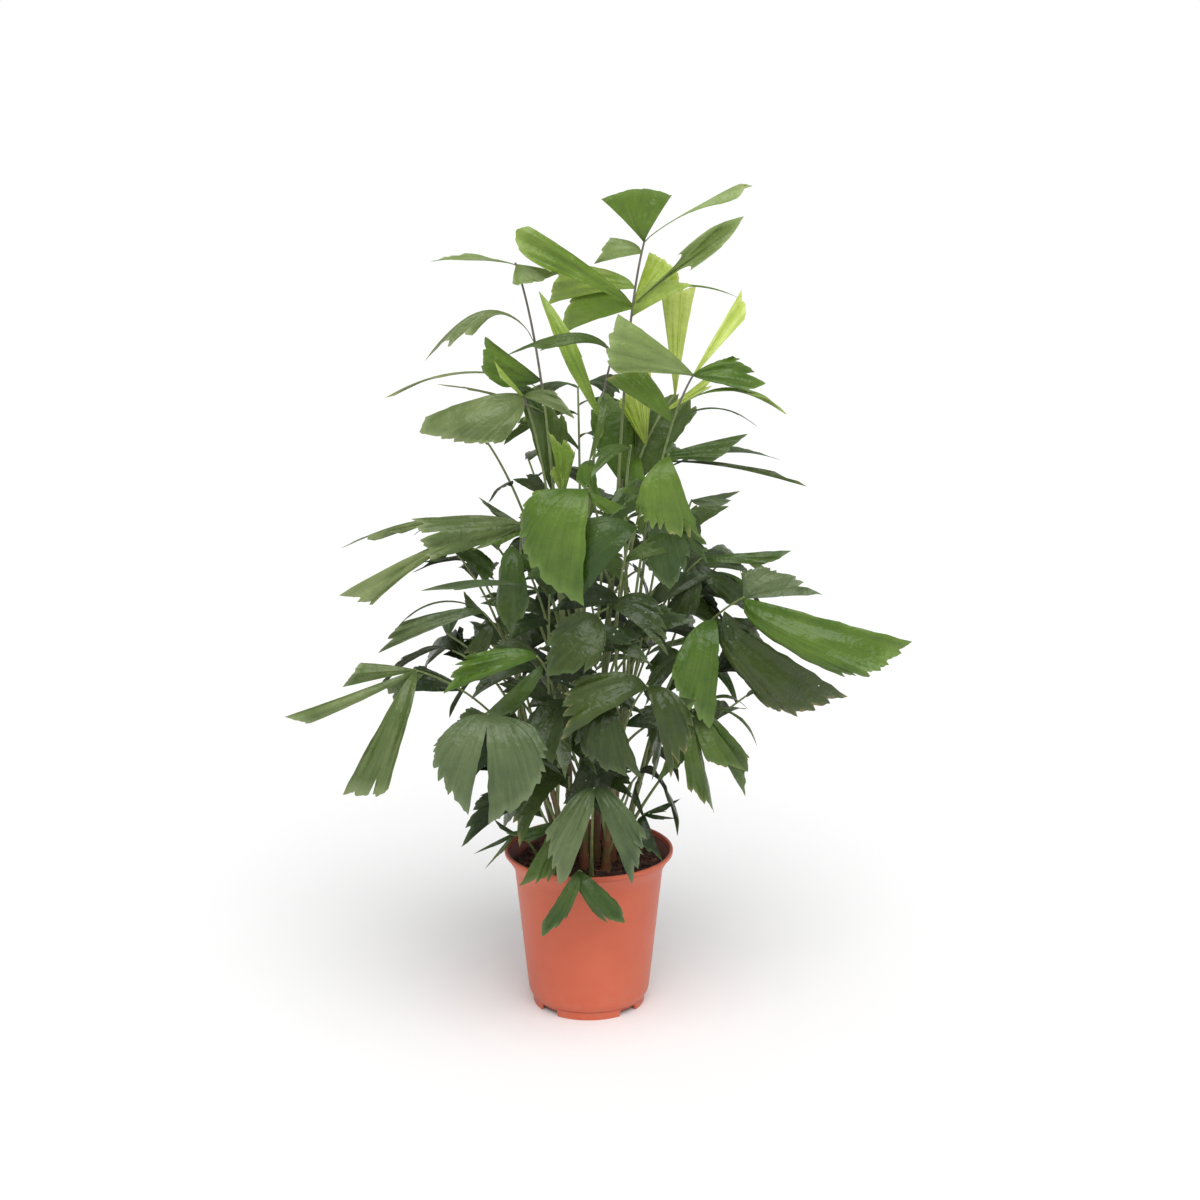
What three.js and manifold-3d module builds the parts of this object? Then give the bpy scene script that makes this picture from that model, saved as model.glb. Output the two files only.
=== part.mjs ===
import * as THREE from 'three';
import { mergeVertices } from 'three/addons/utils/BufferGeometryUtils.js';
import Module from 'manifold-3d';

// Clustering fishtail palm in a round nursery pot. Millimetres, +Z up, seen from -Y.
// The pot stands on z = 0 with its axis on the Z axis.

const wasm = await Module();
wasm.setup();

// Pot: a thin moulded tub on a notched foot ring, with a flared and rolled lip.
const potHeight = 230;
const potSides = 28;
const lipRadius = 120;
const lipBead = 6;
const lipRound = 1.5;
const lipWidth = 4;
const neckRadius = 105.5;
const neckHeight = 203;
const flareWidth = 5;
const flareHeight = 8;
const heelRadius = 86.5;
const heelHeight = 20;
const footRadius = 80;
const footHeight = 8.5;
const footRingWidth = 3;
const footStep = 2.5;
const potWall = 2.4;
const floorTop = 9;
const centrePadRadius = 24;
const drainCount = 4;
const notchWidth = 27;
const notchHeight = 6;
const notchDepth = 12;
const drainHoleRadius = 6;
const drainHoleSides = 8;
const drainHolePlace = 62;
const potRoom = 2;

// Soil: fills the pot to a little under the lip.
const soilTop = 212;
const soilShoulder = 3;
const soilSlabDepth = 40;
const seatGap = 0.3;

// Canes: the clump's stems, each from a flat foot on the soil to its tip.
const caneFootRadius = 8;
const caneNeckRadius = 6;
const caneTipRadius = 3.6;
const caneFlareHeight = 26;
const caneSides = 8;
const caneSteps = 4;
const caneSweep = 0.6;
const caneRoom = 1;
const caneClearance = 0.35;
const caneTopMargin = 20;
const canes = [
  { name: 'cane_tall', foot: [10, -2], top: [45, 10, 760] },
  { name: 'cane_left', foot: [-26, -4], top: [-38, 5, 620] },
  { name: 'cane_right', foot: [32, -6], top: [76, -5, 600] },
  { name: 'cane_front', foot: [-6, -27], top: [-14, -62, 560] },
  { name: 'cane_back', foot: [-4, 30], top: [-14, 78, 640] },
  { name: 'cane_far_left', foot: [-44, 16], top: [-112, 26, 430] },
  { name: 'cane_far_right', foot: [50, 18], top: [118, 34, 440] },
  { name: 'cane_front_right', foot: [24, -36], top: [56, -82, 480] },
  { name: 'cane_front_left', foot: [-32, -36], top: [-66, -88, 400] },
  { name: 'cane_back_right', foot: [26, 44], top: [62, 120, 470] },
];

// Fronds: stalk sizes, blade thickness and the room each one keeps from its neighbours.
const stalkFootRadius = 3.6;
const stalkTipRadius = 2.3;
const stalkSides = 3;
const stalkSteps = 4;
const stalkRise = 0.75;
const stalkLeastRise = 0.35;
const stalkReach = 0.3;
const stalkRoom = 0.8;
const stalkSink = 4;
const stalkTurns = [0, 25, -25, 50, -50, 80, -80];
const stalkShifts = [0, 14, -14, 28, -28, 42, -42, 60];
const leafThickness = 1.6;
const leafThicknessShare = 0.01;
const leafRootWidth = 2.4;
const lastShare = 0.99;
const longLeaf = 112;
const longRows = [0.28, 0.62, 1];
const shortRows = [0.35, 1];
const narrowSpread = 33;
const tailPower = 1.5;
const edgeStraightness = 0.7;
const shoulderPower = 0.62;
const fanArch = 0.07;
const strapArch = 0.17;
const strapLook = [0, -0.35, 1];
const sampleStep = 6;
const leafRoom = 4;
const cellSize = 12;
const leafTurns = [0, 8, -8, 16, -16, 24, -24];
const innerShares = [0.36, 0.54, 0.74];

const potColour = 0xcc6b50;
const soilColour = 0x3a281e;
const caneColour = 0x7c8a45;
const toneColours = { young: 0x9cc43c, bright: 0x5fa02c, mid: 0x4f7f33, dark: 0x2f4a22, grey: 0x7b9468 };

const degrees = Math.PI / 180;
const up = new THREE.Vector3(0, 0, 1);

// A fan is a broad fishtail leaflet that shows its face, a strap a narrow one that shows its edge.
// share is the place along the stalk, reach the way to the tip: right, back and up.
// spread is the angle that the blade opens to, short the far margin's length and peak the tip's place.
function fan(share, reach, spread, short = 0.7, peak = 0) {
  return { share, reach: new THREE.Vector3(...reach), spread, short, peak, arch: fanArch, flat: false };
}

function strap(share, reach, spread, short = 0.6, peak = 0) {
  return { share, reach: new THREE.Vector3(...reach), spread, short, peak, arch: strapArch, flat: true };
}

// Fronds of the seen side. cane is the cane's place in the list above, and soil a foot on the soil.
const frontFronds = [
  { name: 'frond_crown', cane: 0, height: 700, tip: [75, -15, 1085], look: [0, -1, 0.35], tone: 'bright',
    leaflets: [
      fan(1, [-53, -25, 60], -75, 0.9), strap(1, [140, 40, 72], 18), fan(0.67, [128, -15, 118], -14, 0.7),
      fan(0.93, [-62, -20, -24], -25, 0.6), fan(0.67, [-156, -30, 105], 18, 0.8),
      fan(0.64, [-120, 50, 0], 28), fan(0.62, [-85, 25, -40], -34, 0.85),
      fan(0.66, [45, 35, 70], 28, 0.95), fan(0.63, [115, -20, 30], 50, 0.5),
    ] },
  { name: 'frond_left_high', cane: 1, height: 560, tip: [-83, -20, 1028], look: [0, -1, 0.35], tone: 'mid',
    leaflets: [
      strap(1, [-120, -20, 34], 10), fan(1, [24, -20, 22], 100, 0.8), strap(0.78, [-138, -50, -22], 16),
      fan(0.565, [-92, -50, 62], 28, 0.65), fan(0.45, [-60, 20, 55], -25, 0.6),
    ] },
  { name: 'frond_right_high', cane: 2, height: 540, tip: [140, -60, 914], look: [0.1, -1, 0.35],
    tone: 'bright',
    leaflets: [
      fan(1, [-98, -50, 92], 27, 0.85), fan(1, [92, 0, -12], 30, 0.75), fan(1, [67, 50, 103], -10, 0.85),
      strap(0.78, [128, 10, -8], 14), fan(0.72, [-72, -30, 80], -30, 0.8), fan(0.58, [118, 10, 15], -16, 0.6),
      strap(0.55, [180, 10, -45], 5), strap(0.5, [150, 60, 8], 8), strap(0.72, [95, 50, -5], 8),
    ] },
  { name: 'frond_middle_high', cane: 3, height: 520, tip: [33, -45, 938], look: [0, -1, 0.3], tone: 'mid',
    leaflets: [
      fan(0.7, [-68, 20, 160], 12, 0.85), strap(1, [-132, -45, 8], 16), fan(0.78, [-18, -30, -85], 14, 0.6),
    ] },
  { name: 'frond_left_grey', cane: 1, height: 470, tip: [-85, -75, 888], look: [-0.2, -1, 0.55], tone: 'grey',
    leaflets: [
      fan(1, [-140, -10, -48], 28, 0.65), fan(1, [62, -20, -30], 28, 0.6), strap(0.8, [-180, 35, -5], 9),
      strap(0.72, [-115, 45, 15], 10),
    ] },
  { name: 'shoot_yellow_right', cane: 0, height: 620, tip: [120, 45, 872], look: [0, -1, 0.1], tone: 'young',
    leaflets: [
      fan(1, [-12, 15, 128], -20, 0.92), fan(0.62, [-35, 0, 95], -14, 0.9), fan(0.85, [75, 10, 62], -12, 0.8),
    ] },
  { name: 'shoot_yellow_left', cane: 3, height: 465, tip: [-34, -25, 745], look: [0, -1, 0.1], tone: 'young',
    leaflets: [fan(1, [-2, -25, 96], -18, 0.8), fan(1, [20, -20, 50], 20)] },
  { name: 'frond_inner_left', cane: 4, height: 520, tip: [-50, 18, 742], look: [-0.1, -1, 0.1], tone: 'dark',
    leaflets: [fan(1, [-38, 0, 125], -24, 0.85), fan(0.9, [-62, 30, 20], -24, 0.7)] },
  { name: 'frond_inner_right', cane: 0, height: 520, tip: [60, 32, 750], look: [0.1, -1, 0.2], tone: 'dark',
    leaflets: [
      fan(1, [62, 10, 98], 16, 0.9), fan(0.9, [-45, 30, 100], 14, 0.9), fan(0.96, [20, 40, 110], 20),
    ] },
  { name: 'fan_front', cane: 3, height: 440, tip: [0, -190, 786], look: [0, -1, 0.2], tone: 'bright',
    leaflets: [fan(1, [-8, -25, -148], -62, 0.62), fan(0.97, [50, 25, -25], -30)] },
  { name: 'fan_right', cane: 7, height: 440, tip: [104, -165, 825], look: [0, -1, 0.25], tone: 'bright',
    leaflets: [fan(1, [45, -25, -106], -56, 0.72)] },
  { name: 'fan_front_right', cane: 7, height: 400, tip: [63, -185, 737], look: [0, -1, 0.2], tone: 'bright',
    leaflets: [fan(1, [-70, -20, -102], -52, 0.55)] },
  { name: 'fan_right_low', cane: 7, height: 360, tip: [98, -125, 732], look: [0, -1, 0.2], tone: 'mid',
    leaflets: [fan(1, [6, -5, -92], 75, 0.65, 0.45), fan(0.97, [62, 10, -55], 30, 0.7)] },
  { name: 'frond_left_long', cane: 5, height: 400, tip: [-90, -45, 712], look: [0, -1, 0.6], tone: 'grey',
    leaflets: [
      fan(1, [-246, -20, -90], -36, 0.45), strap(1, [-255, 45, -88], 6), fan(0.93, [-65, -40, -18], 16, 0.6),
      fan(0.97, [-60, 20, 35], 20, 0.6),
    ] },
  { name: 'frond_left_mid', cane: 5, height: 350, tip: [-195, -15, 678], look: [0, -1, 0.4], tone: 'mid',
    leaflets: [
      fan(1, [-24, -10, -24], 40, 0.8), fan(0.95, [58, -15, -52], 30, 0.85), fan(0.9, [30, 30, 40], 30),
    ] },
  { name: 'frond_left_bright', cane: 1, height: 380, tip: [-100, -120, 695], look: [0, -1, 0.2],
    tone: 'bright',
    leaflets: [fan(1, [-7, -12, -118], 40, 0.8, 0.5), fan(0.92, [48, 10, -70], 34)] },
  { name: 'frond_left_thin', cane: 8, height: 360, tip: [-50, -150, 636], look: [0, -1, 0.5], tone: 'mid',
    leaflets: [strap(1, [-167, -15, 16], 9)] },
  { name: 'frond_left_striped', cane: 5, height: 310, tip: [-145, -35, 585], look: [0, -1, 0.5], tone: 'grey',
    leaflets: [
      fan(1, [-142, -20, -58], -14, 0.8), strap(1, [-122, 25, -34], 5), fan(0.9, [-40, 10, -45], 40, 0.8),
      fan(0.92, [-35, 25, 35], 34),
    ] },
  { name: 'frond_left_low', cane: 5, height: 275, tip: [-233, -110, 523], look: [0, -1, 0.3], tone: 'bright',
    leaflets: [
      fan(1, [-170, -30, -58], -20, 0.47), fan(1, [-103, -40, -160], 22, 0.88),
      fan(0.95, [-42, 30, -55], -30, 0.85),
    ] },
  { name: 'frond_left_leaf', cane: 8, height: 310, tip: [-66, -190, 564], look: [0, -1, 0.3], tone: 'bright',
    leaflets: [fan(1, [-121, -25, -44], -24, 0.8), fan(0.9, [-80, 25, -75], 22)] },
  { name: 'fan_left_low', cane: 8, height: 260, tip: [-129, -215, 493], look: [0, -1, 0.2], tone: 'mid',
    leaflets: [fan(1, [-46, -30, -103], -42, 0.8), fan(1, [0, -30, -142], 50, 0.75)] },
  { name: 'fan_mid', cane: 3, height: 360, tip: [16, -195, 616], look: [0, -1, 0.3], tone: 'dark',
    leaflets: [fan(1, [-79, -20, -73], 85, 0.4, 0.4), fan(0.93, [60, 20, -20], -34)] },
  { name: 'pair_centre', cane: 7, height: 290, tip: [78, -200, 526], look: [0, -1, 0.3], tone: 'dark',
    leaflets: [
      fan(1, [-115, -25, -60], -22, 0.8), fan(1, [29, -25, -118], 40, 0.62), fan(0.93, [70, 20, -20], -30),
    ] },
  { name: 'fan_centre', cane: 3, height: 290, tip: [33, -182, 503], look: [0, -1, 0.2], tone: 'mid',
    leaflets: [fan(1, [34, -12, -92], -58, 0.8)] },
  { name: 'fan_low_dark', cane: 7, height: 250, tip: [0, -100, 412], look: [0, -1, 0.3], tone: 'dark',
    leaflets: [fan(1, [-36, -12, -78], 38, 0.8), fan(0.95, [62, -10, -60], -34)] },
  { name: 'frond_right_big', cane: 6, height: 320, tip: [206, -130, 628], look: [0, -1, 0.3], tone: 'bright',
    leaflets: [
      fan(1, [220, -40, -62], -28, 0.66), fan(1, [106, 20, 0], 92, 0.4), fan(0.96, [130, 60, -142], -26, 0.8),
      fan(0.79, [12, -25, -132], -38, 0.5, 0.25), fan(0.86, [70, 50, -70], -40),
    ] },
  { name: 'frond_right_mid', cane: 2, height: 400, tip: [155, -35, 660], look: [0, -1, 0.4], tone: 'mid',
    leaflets: [
      fan(1, [122, 0, 15], -12, 0.85), strap(0.97, [42, -10, -5], 14), fan(0.9, [-45, -20, -75], 38, 0.8),
      fan(0.94, [90, 30, -45], -30),
    ] },
  { name: 'frond_right_upper', cane: 6, height: 390, tip: [142, 5, 733], look: [0, -1, 0.4], tone: 'dark',
    leaflets: [fan(1, [68, 10, 12], -25, 0.6), fan(0.92, [40, -20, -60], 36), fan(0.9, [-20, 10, 60], 30)] },
  { name: 'frond_right_low', cane: 6, height: 265, tip: [150, -80, 462], look: [0, -1, 0.3], tone: 'mid',
    leaflets: [
      fan(1, [68, -25, -78], -28, 0.75), fan(0.92, [36, -20, -140], -18, 0.75), fan(0.96, [68, 10, -130], 20),
      strap(1, [90, 25, -78], 5), strap(1, [72, 40, -12], 14), fan(0.8, [-30, -30, -80], 34),
    ] },
  { name: 'pair_bottom', soil: [4, -62], tip: [8, -165, 375], look: [0, -1, 0.2], tone: 'mid',
    leaflets: [fan(1, [-22, -20, -112], -24, 0.85), fan(1, [45, -20, -134], 28, 0.72)] },
  { name: 'frond_lip', soil: [-6, -80], tip: [-8, -138, 246], look: [0, -1, 0.3], tone: 'mid',
    leaflets: [fan(1, [-50, -15, -92], 24, 0.8), fan(1, [62, -15, -66], -24, 0.8)] },
  { name: 'sucker_low_left', soil: [-38, -62], tip: [-44, -132, 318], look: [0, -1, 0.2], tone: 'mid',
    leaflets: [fan(1, [-52, -25, -83], 30, 0.8), fan(0.95, [-70, 10, -20], 24)] },
  { name: 'sucker_left', soil: [-68, -20], tip: [-104, -60, 272], look: [0, -1, 0.6], tone: 'dark',
    leaflets: [
      fan(1, [-56, -10, -27], 15, 0.6), fan(1, [-37, -30, -42], 18, 0.6), fan(0.9, [-35, 30, 12], 20),
    ] },
  { name: 'sucker_right', soil: [66, -18], tip: [78, -50, 298], look: [0, -1, 0.5], tone: 'dark',
    leaflets: [
      fan(1, [50, 10, 22], -18, 0.6), fan(1, [45, -10, -4], -16, 0.6), fan(0.95, [26, -32, -56], -35),
      fan(0.9, [-10, 20, 40], 20),
    ] },
];

// Fronds of the far side: they wind up round the clump by the golden angle.
const backFrondCount = 14;
const backFirstHeight = 260;
const backHeightStep = 22;
const backFirstBearing = 20;
const backArc = 180;
const backSwings = [0, 20, -20, 40, -40, 60, -60, 90, -90, 120, -120];
const goldenShare = 0.618034;
const backReachLow = 250;
const backReachHigh = 120;
const backStalkLow = 190;
const backStalkHigh = 360;
const backSway = 0.4;
const backPairs = [0.68, 0.87];
const backPairStep = 0.06;
const backTones = ['mid', 'dark', 'bright', 'mid', 'grey'];

// Kinds of leaflet drawn by lot, each value between two bounds: the bearing off the frond's own in
// radians, the length, the rise of the tip and the spread. A plain one has fewer faces.
const endLeaf = { bearing: [0.35, 0.6], length: [90, 130], rise: [-70, -10], spread: [34, 46], plain: false };
const sideLeaf = { bearing: [0.9, 1.5], length: [80, 130], rise: [-60, 50], spread: [24, 40], plain: true };
const innerLeaf = { bearing: [0.9, 1.9], length: [70, 110], rise: [-50, 40], spread: [28, 40], plain: true };

// Evenly spread values from 0 to 1, the same ones every time.
const firstSeed = 1207;
const seedStep = 7919;
const seedFactor = 16807;
const seedLimit = 2147483647;
let seed = firstSeed;

function between([low, high]) {
  seed = (seed * seedFactor) % seedLimit;
  return low + (high - low) * (seed / seedLimit);
}

function fromBearing(bearing, outward, rise) {
  return new THREE.Vector3(Math.cos(bearing) * outward, Math.sin(bearing) * outward, rise);
}

function drawLeaf(kind, share, bearing, side) {
  const turn = bearing + side * between(kind.bearing);
  const reach = fromBearing(turn, between(kind.length), between(kind.rise));
  return { ...fan(share, reach.toArray(), side * between(kind.spread)), plain: kind.plain };
}

// A cane leans out faster as it climbs.
function caneCentre(cane, height) {
  const climb = (height - soilTop) / (cane.top[2] - soilTop);
  const lean = climb * climb * caneSweep + climb * (1 - caneSweep);
  return new THREE.Vector3(
    cane.foot[0] + (cane.top[0] - cane.foot[0]) * lean,
    cane.foot[1] + (cane.top[1] - cane.foot[1]) * lean,
    height,
  );
}

// The cane whose top lies nearest to a bearing and still stands above a height.
function nearestCane(bearing, height) {
  let best = 0;
  let bestTurn = Infinity;
  canes.forEach((cane, index) => {
    const turn = Math.abs(Math.cos(Math.atan2(cane.top[1], cane.top[0]) - bearing) - 1);
    if (cane.top[2] > height + caneTopMargin && turn < bestTurn) {
      best = index;
      bestTurn = turn;
    }
  });
  return best;
}

function backFrond(index, swing) {
  seed = firstSeed + index * seedStep;
  const level = index / (backFrondCount - 1);
  const height = backFirstHeight + backHeightStep * index;
  const bearing = (backFirstBearing + backArc * ((index * goldenShare) % 1) + swing) * degrees;
  const caneIndex = nearestCane(bearing, height);
  const start = caneCentre(canes[caneIndex], height);
  const outward = backReachLow + (backReachHigh - backReachLow) * level;
  const rise = backStalkLow + (backStalkHigh - backStalkLow) * level;
  const tip = fromBearing(bearing, outward, height + rise);
  tip.x += start.x * backSway;
  const leaflets = [-1, 1].map((side) => drawLeaf(endLeaf, 1, bearing, side));
  for (const share of backPairs) {
    leaflets.push(drawLeaf(sideLeaf, share, bearing, -1));
    leaflets.push(drawLeaf(sideLeaf, share - backPairStep, bearing, 1));
  }
  return {
    name: `frond_back_${index + 1}`, cane: caneIndex, height, tip: tip.toArray(),
    look: fromBearing(bearing, 0.5, 1).toArray(), tone: backTones[index % backTones.length], leaflets,
  };
}

// Places already filled, kept by cell: each is a point with its owner and the room it needs.
const filled = new Map();

function cellKey(x, y, z) {
  return `${x},${y},${z}`;
}

function fill(points, owner) {
  for (const { point, room } of points) {
    const key = cellKey(...point.toArray().map((value) => Math.floor(value / cellSize)));
    if (!filled.has(key)) filled.set(key, []);
    filled.get(key).push({ point, room, owner });
  }
}

function isClear(points, owners) {
  for (const { point, room } of points) {
    const cell = point.toArray().map((value) => Math.floor(value / cellSize));
    for (let step = 0; step < 27; step += 1) {
      const offset = [(step % 3) - 1, (Math.floor(step / 3) % 3) - 1, Math.floor(step / 9) - 1];
      const near = filled.get(cellKey(cell[0] + offset[0], cell[1] + offset[1], cell[2] + offset[2]));
      for (const other of near ?? []) {
        const touching = point.distanceTo(other.point) < room + other.room;
        if (touching && !owners.includes(other.owner)) return false;
      }
    }
  }
  return true;
}

// A closed skin over rings of points that all have the same count, with a flat lid at each end.
function ringSolid(rings) {
  const sides = rings[0].length;
  const positions = rings.flat().flatMap((point) => point.toArray());
  const faces = [];
  for (let ring = 0; ring + 1 < rings.length; ring += 1) {
    for (let side = 0; side < sides; side += 1) {
      const low = ring * sides + side;
      const lowNext = ring * sides + ((side + 1) % sides);
      faces.push(low, lowNext, lowNext + sides, low, lowNext + sides, low + sides);
    }
  }
  const last = (rings.length - 1) * sides;
  for (let side = 1; side + 1 < sides; side += 1) {
    faces.push(0, side + 1, side);
    faces.push(last, last + side, last + side + 1);
  }
  return indexed(positions, faces);
}

function indexed(positions, faces) {
  const geometry = new THREE.BufferGeometry();
  geometry.setAttribute('position', new THREE.Float32BufferAttribute(positions, 3));
  geometry.setIndex(faces);
  return geometry;
}

function toSolid(geometry) {
  geometry.deleteAttribute('normal');
  geometry.deleteAttribute('uv');
  const merged = mergeVertices(geometry, 1e-3);
  const index = merged.index.array;
  const faces = [];
  for (let corner = 0; corner < index.length; corner += 3) {
    const [a, b, c] = [index[corner], index[corner + 1], index[corner + 2]];
    if (a !== b && b !== c && c !== a) faces.push(a, b, c);
  }
  const vertProperties = new Float32Array(merged.attributes.position.array);
  return new wasm.Manifold(new wasm.Mesh({ numProp: 3, vertProperties, triVerts: new Uint32Array(faces) }));
}

function toGeometry(solid) {
  const { vertProperties, triVerts } = solid.getMesh();
  return indexed(Array.from(vertProperties), Array.from(triVerts));
}

function addAll(solids) {
  return solids.reduce((whole, solid) => whole.add(solid));
}

function largestPiece(solid) {
  return solid.decompose().reduce((best, piece) => (piece.volume() > best.volume() ? piece : best));
}

const group = new THREE.Group();

function addMesh(name, geometry, color, roughness) {
  const mesh = new THREE.Mesh(geometry, new THREE.MeshStandardMaterial({ color, roughness, metalness: 0 }));
  mesh.name = name;
  group.add(mesh);
}

// A profile of [radius, height] pairs turned round the Z axis.
function turned(profile) {
  const points = profile.map(([radius, height]) => new THREE.Vector2(radius, height));
  return new THREE.LatheGeometry(points, potSides).rotateX(Math.PI / 2);
}

function makePot() {
  const innerNeck = neckRadius - potWall;
  const innerFoot = footRadius - footRingWidth;
  const body = toSolid(turned([
    [0, 0], [centrePadRadius, 0], [centrePadRadius, notchHeight], [innerFoot, notchHeight], [innerFoot, 0],
    [footRadius, 0], [footRadius, footHeight], [footRadius + footStep, footHeight + 1],
    [heelRadius, heelHeight], [neckRadius, neckHeight], [neckRadius + flareWidth, neckHeight + flareHeight],
    [lipRadius - 2 * lipRound, potHeight - lipBead - 1], [lipRadius, potHeight - lipBead + lipRound],
    [lipRadius, potHeight - lipRound], [lipRadius - lipRound, potHeight], [lipRadius - lipWidth, potHeight],
    [innerNeck + flareWidth, neckHeight + flareHeight + 1], [innerNeck, neckHeight],
    [heelRadius - potWall, heelHeight], [footRadius - 1, floorTop], [0, floorTop],
  ]));
  const cutters = [];
  for (let drain = 0; drain < drainCount; drain += 1) {
    const turn = (drain + 0.5) * (2 * Math.PI / drainCount);
    const notch = new THREE.BoxGeometry(notchDepth, notchWidth, notchHeight * 2);
    notch.translate(footRadius - 1, 0, 0).rotateZ(turn);
    cutters.push(toSolid(notch));
    const hole = new THREE.CylinderGeometry(drainHoleRadius, drainHoleRadius, floorTop * 3, drainHoleSides);
    hole.rotateX(Math.PI / 2).translate(drainHolePlace, 0, 0).rotateZ(turn);
    cutters.push(toSolid(hole));
  }
  return toGeometry(body.subtract(addAll(cutters)));
}

// The soil follows the pot's inside, a seat gap away from it, and is rounded off at its top edge.
function makeSoil() {
  const innerHeel = heelRadius - potWall - seatGap;
  const innerNeck = neckRadius - potWall - seatGap;
  return toGeometry(toSolid(turned([
    [0, floorTop + seatGap], [footRadius - 2, floorTop + seatGap], [innerHeel, heelHeight + 1],
    [innerNeck - seatGap, neckHeight], [innerNeck + 1, soilTop - soilShoulder],
    [innerNeck - soilShoulder, soilTop], [0, soilTop],
  ])));
}

function caneRadius(cane, height) {
  const above = height - soilTop;
  const climb = above / (cane.top[2] - soilTop);
  const flare = Math.max(0, 1 - above / caneFlareHeight) * (caneFootRadius - caneNeckRadius);
  return caneNeckRadius + (caneTipRadius - caneNeckRadius) * climb + flare;
}

// Level rings stand in for the cane's slightly tilted cuts, so its foot is flat on the soil.
function caneRings(cane, extra = 0) {
  const foot = soilTop + seatGap;
  const heights = [foot, foot + caneFlareHeight];
  for (let step = 1; step <= caneSteps; step += 1) {
    heights.push(foot + caneFlareHeight + (cane.top[2] - foot - caneFlareHeight) * (step / caneSteps));
  }
  return heights.map((height, order) => {
    const atEnd = order === heights.length - 1;
    const lift = order === 0 ? -extra : (atEnd ? extra : 0);
    const centre = caneCentre(cane, height);
    const radius = caneRadius(cane, height) + extra;
    return Array.from({ length: caneSides }, (_, side) => {
      const turn = (side * 2 * Math.PI) / caneSides;
      return centre.clone().add(new THREE.Vector3(Math.cos(turn) * radius, Math.sin(turn) * radius, lift));
    });
  });
}

function fillCane(cane) {
  const points = [];
  for (let height = soilTop; height <= cane.top[2]; height += sampleStep) {
    points.push({ point: caneCentre(cane, height), room: caneRadius(cane, height) + caneRoom });
  }
  fill(points, cane.name);
}

function frondStart(frond, shift) {
  if (frond.soil) return new THREE.Vector3(frond.soil[0] + shift, frond.soil[1], soilTop - stalkSink);
  const cane = canes[frond.cane];
  return caneCentre(cane, Math.min(frond.height + shift, cane.top[2] - stalkSink));
}

// The stalk leaves steeply and arches over to its tip. turn swings the arch round the straight line.
function stalkCurve(frond, turn, shift) {
  const start = frondStart(frond, shift);
  const tip = new THREE.Vector3(...frond.tip);
  const chord = tip.clone().sub(start);
  const climb = Math.max(stalkRise * chord.z, stalkLeastRise * chord.length());
  const bend = new THREE.Vector3(stalkReach * chord.x, stalkReach * chord.y, climb);
  const along = chord.clone().normalize();
  bend.applyAxisAngle(along, turn * degrees);
  return new THREE.QuadraticBezierCurve3(start, bend.add(start), tip);
}

function stalkRadius(share) {
  return stalkFootRadius + (stalkTipRadius - stalkFootRadius) * share;
}

// A place on the stalk's centre line, which runs straight from one ring to the next.
function stalkPoint(curve, share) {
  const step = Math.min(Math.floor(share * stalkSteps), stalkSteps - 1);
  const from = curve.getPoint(step / stalkSteps);
  return from.lerp(curve.getPoint((step + 1) / stalkSteps), share * stalkSteps - step);
}

function stalkSamples(curve) {
  const count = Math.ceil(curve.getLength() / sampleStep);
  return Array.from({ length: count }, (_, step) => {
    const share = (step + 1) / count;
    return { point: stalkPoint(curve, share), room: stalkRadius(share) + stalkRoom };
  });
}

function stalkSolid(curve) {
  const rings = [];
  for (let step = 0; step <= stalkSteps; step += 1) {
    const share = step / stalkSteps;
    const along = curve.getTangent(share);
    const side = new THREE.Vector3(0, 1, 0).cross(along).normalize();
    const other = along.clone().cross(side);
    const centre = curve.getPoint(share);
    rings.push(Array.from({ length: stalkSides }, (_, corner) => {
      const turn = (corner * 2 * Math.PI) / stalkSides;
      const reach = side.clone().multiplyScalar(Math.cos(turn)).addScaledVector(other, Math.sin(turn));
      return centre.clone().addScaledVector(reach, stalkRadius(share));
    }));
  }
  return toSolid(ringSolid(rings));
}

// The leaflet's own axes: out to its tip, across its face and off its face.
function leafFrame(frond, leaflet, root, turn) {
  const look = new THREE.Vector3(...(leaflet.flat ? strapLook : frond.look));
  const swing = (turn * degrees) / (leaflet.flat ? 2 : 1);
  const reach = leaflet.reach.clone().applyAxisAngle(up, swing);
  const out = reach.clone().normalize();
  const face = look.clone().addScaledVector(out, -look.dot(out)).normalize();
  return { root, out, face, across: face.clone().cross(out), length: reach.length(), leaflet };
}

// How long the blade is along a ray at part 0 to 1 of its spread: it ends in a tail at its peak, and
// the far edge beside that is fairly straight.
function leafLength(frame, part) {
  const { spread, short, peak } = frame.leaflet;
  const fall = Math.abs(part - peak) / Math.max(peak, 1 - peak);
  const half = (Math.abs(spread) / 2) * degrees;
  const straight = Math.cos(half) / Math.cos((2 * part - 1) * half);
  return frame.length * (short + (1 - short) * (1 - fall) ** tailPower) * straight ** edgeStraightness;
}

// The blade widens fast near its root and runs on with nearly even sides.
function leafPoint(frame, part, along) {
  const angle = (part - frame.leaflet.peak) * frame.leaflet.spread * degrees;
  const length = leafLength(frame, part);
  const root = (part - 0.5) * leafRootWidth * Math.sign(frame.leaflet.spread) * (1 - along);
  const aside = length * Math.sin(angle) * along ** shoulderPower + root;
  const arch = 4 * frame.leaflet.arch * length * along * (1 - along);
  return frame.root.clone()
    .addScaledVector(frame.out, length * Math.cos(angle) * along)
    .addScaledVector(frame.across, aside)
    .addScaledVector(frame.face, arch);
}

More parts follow.
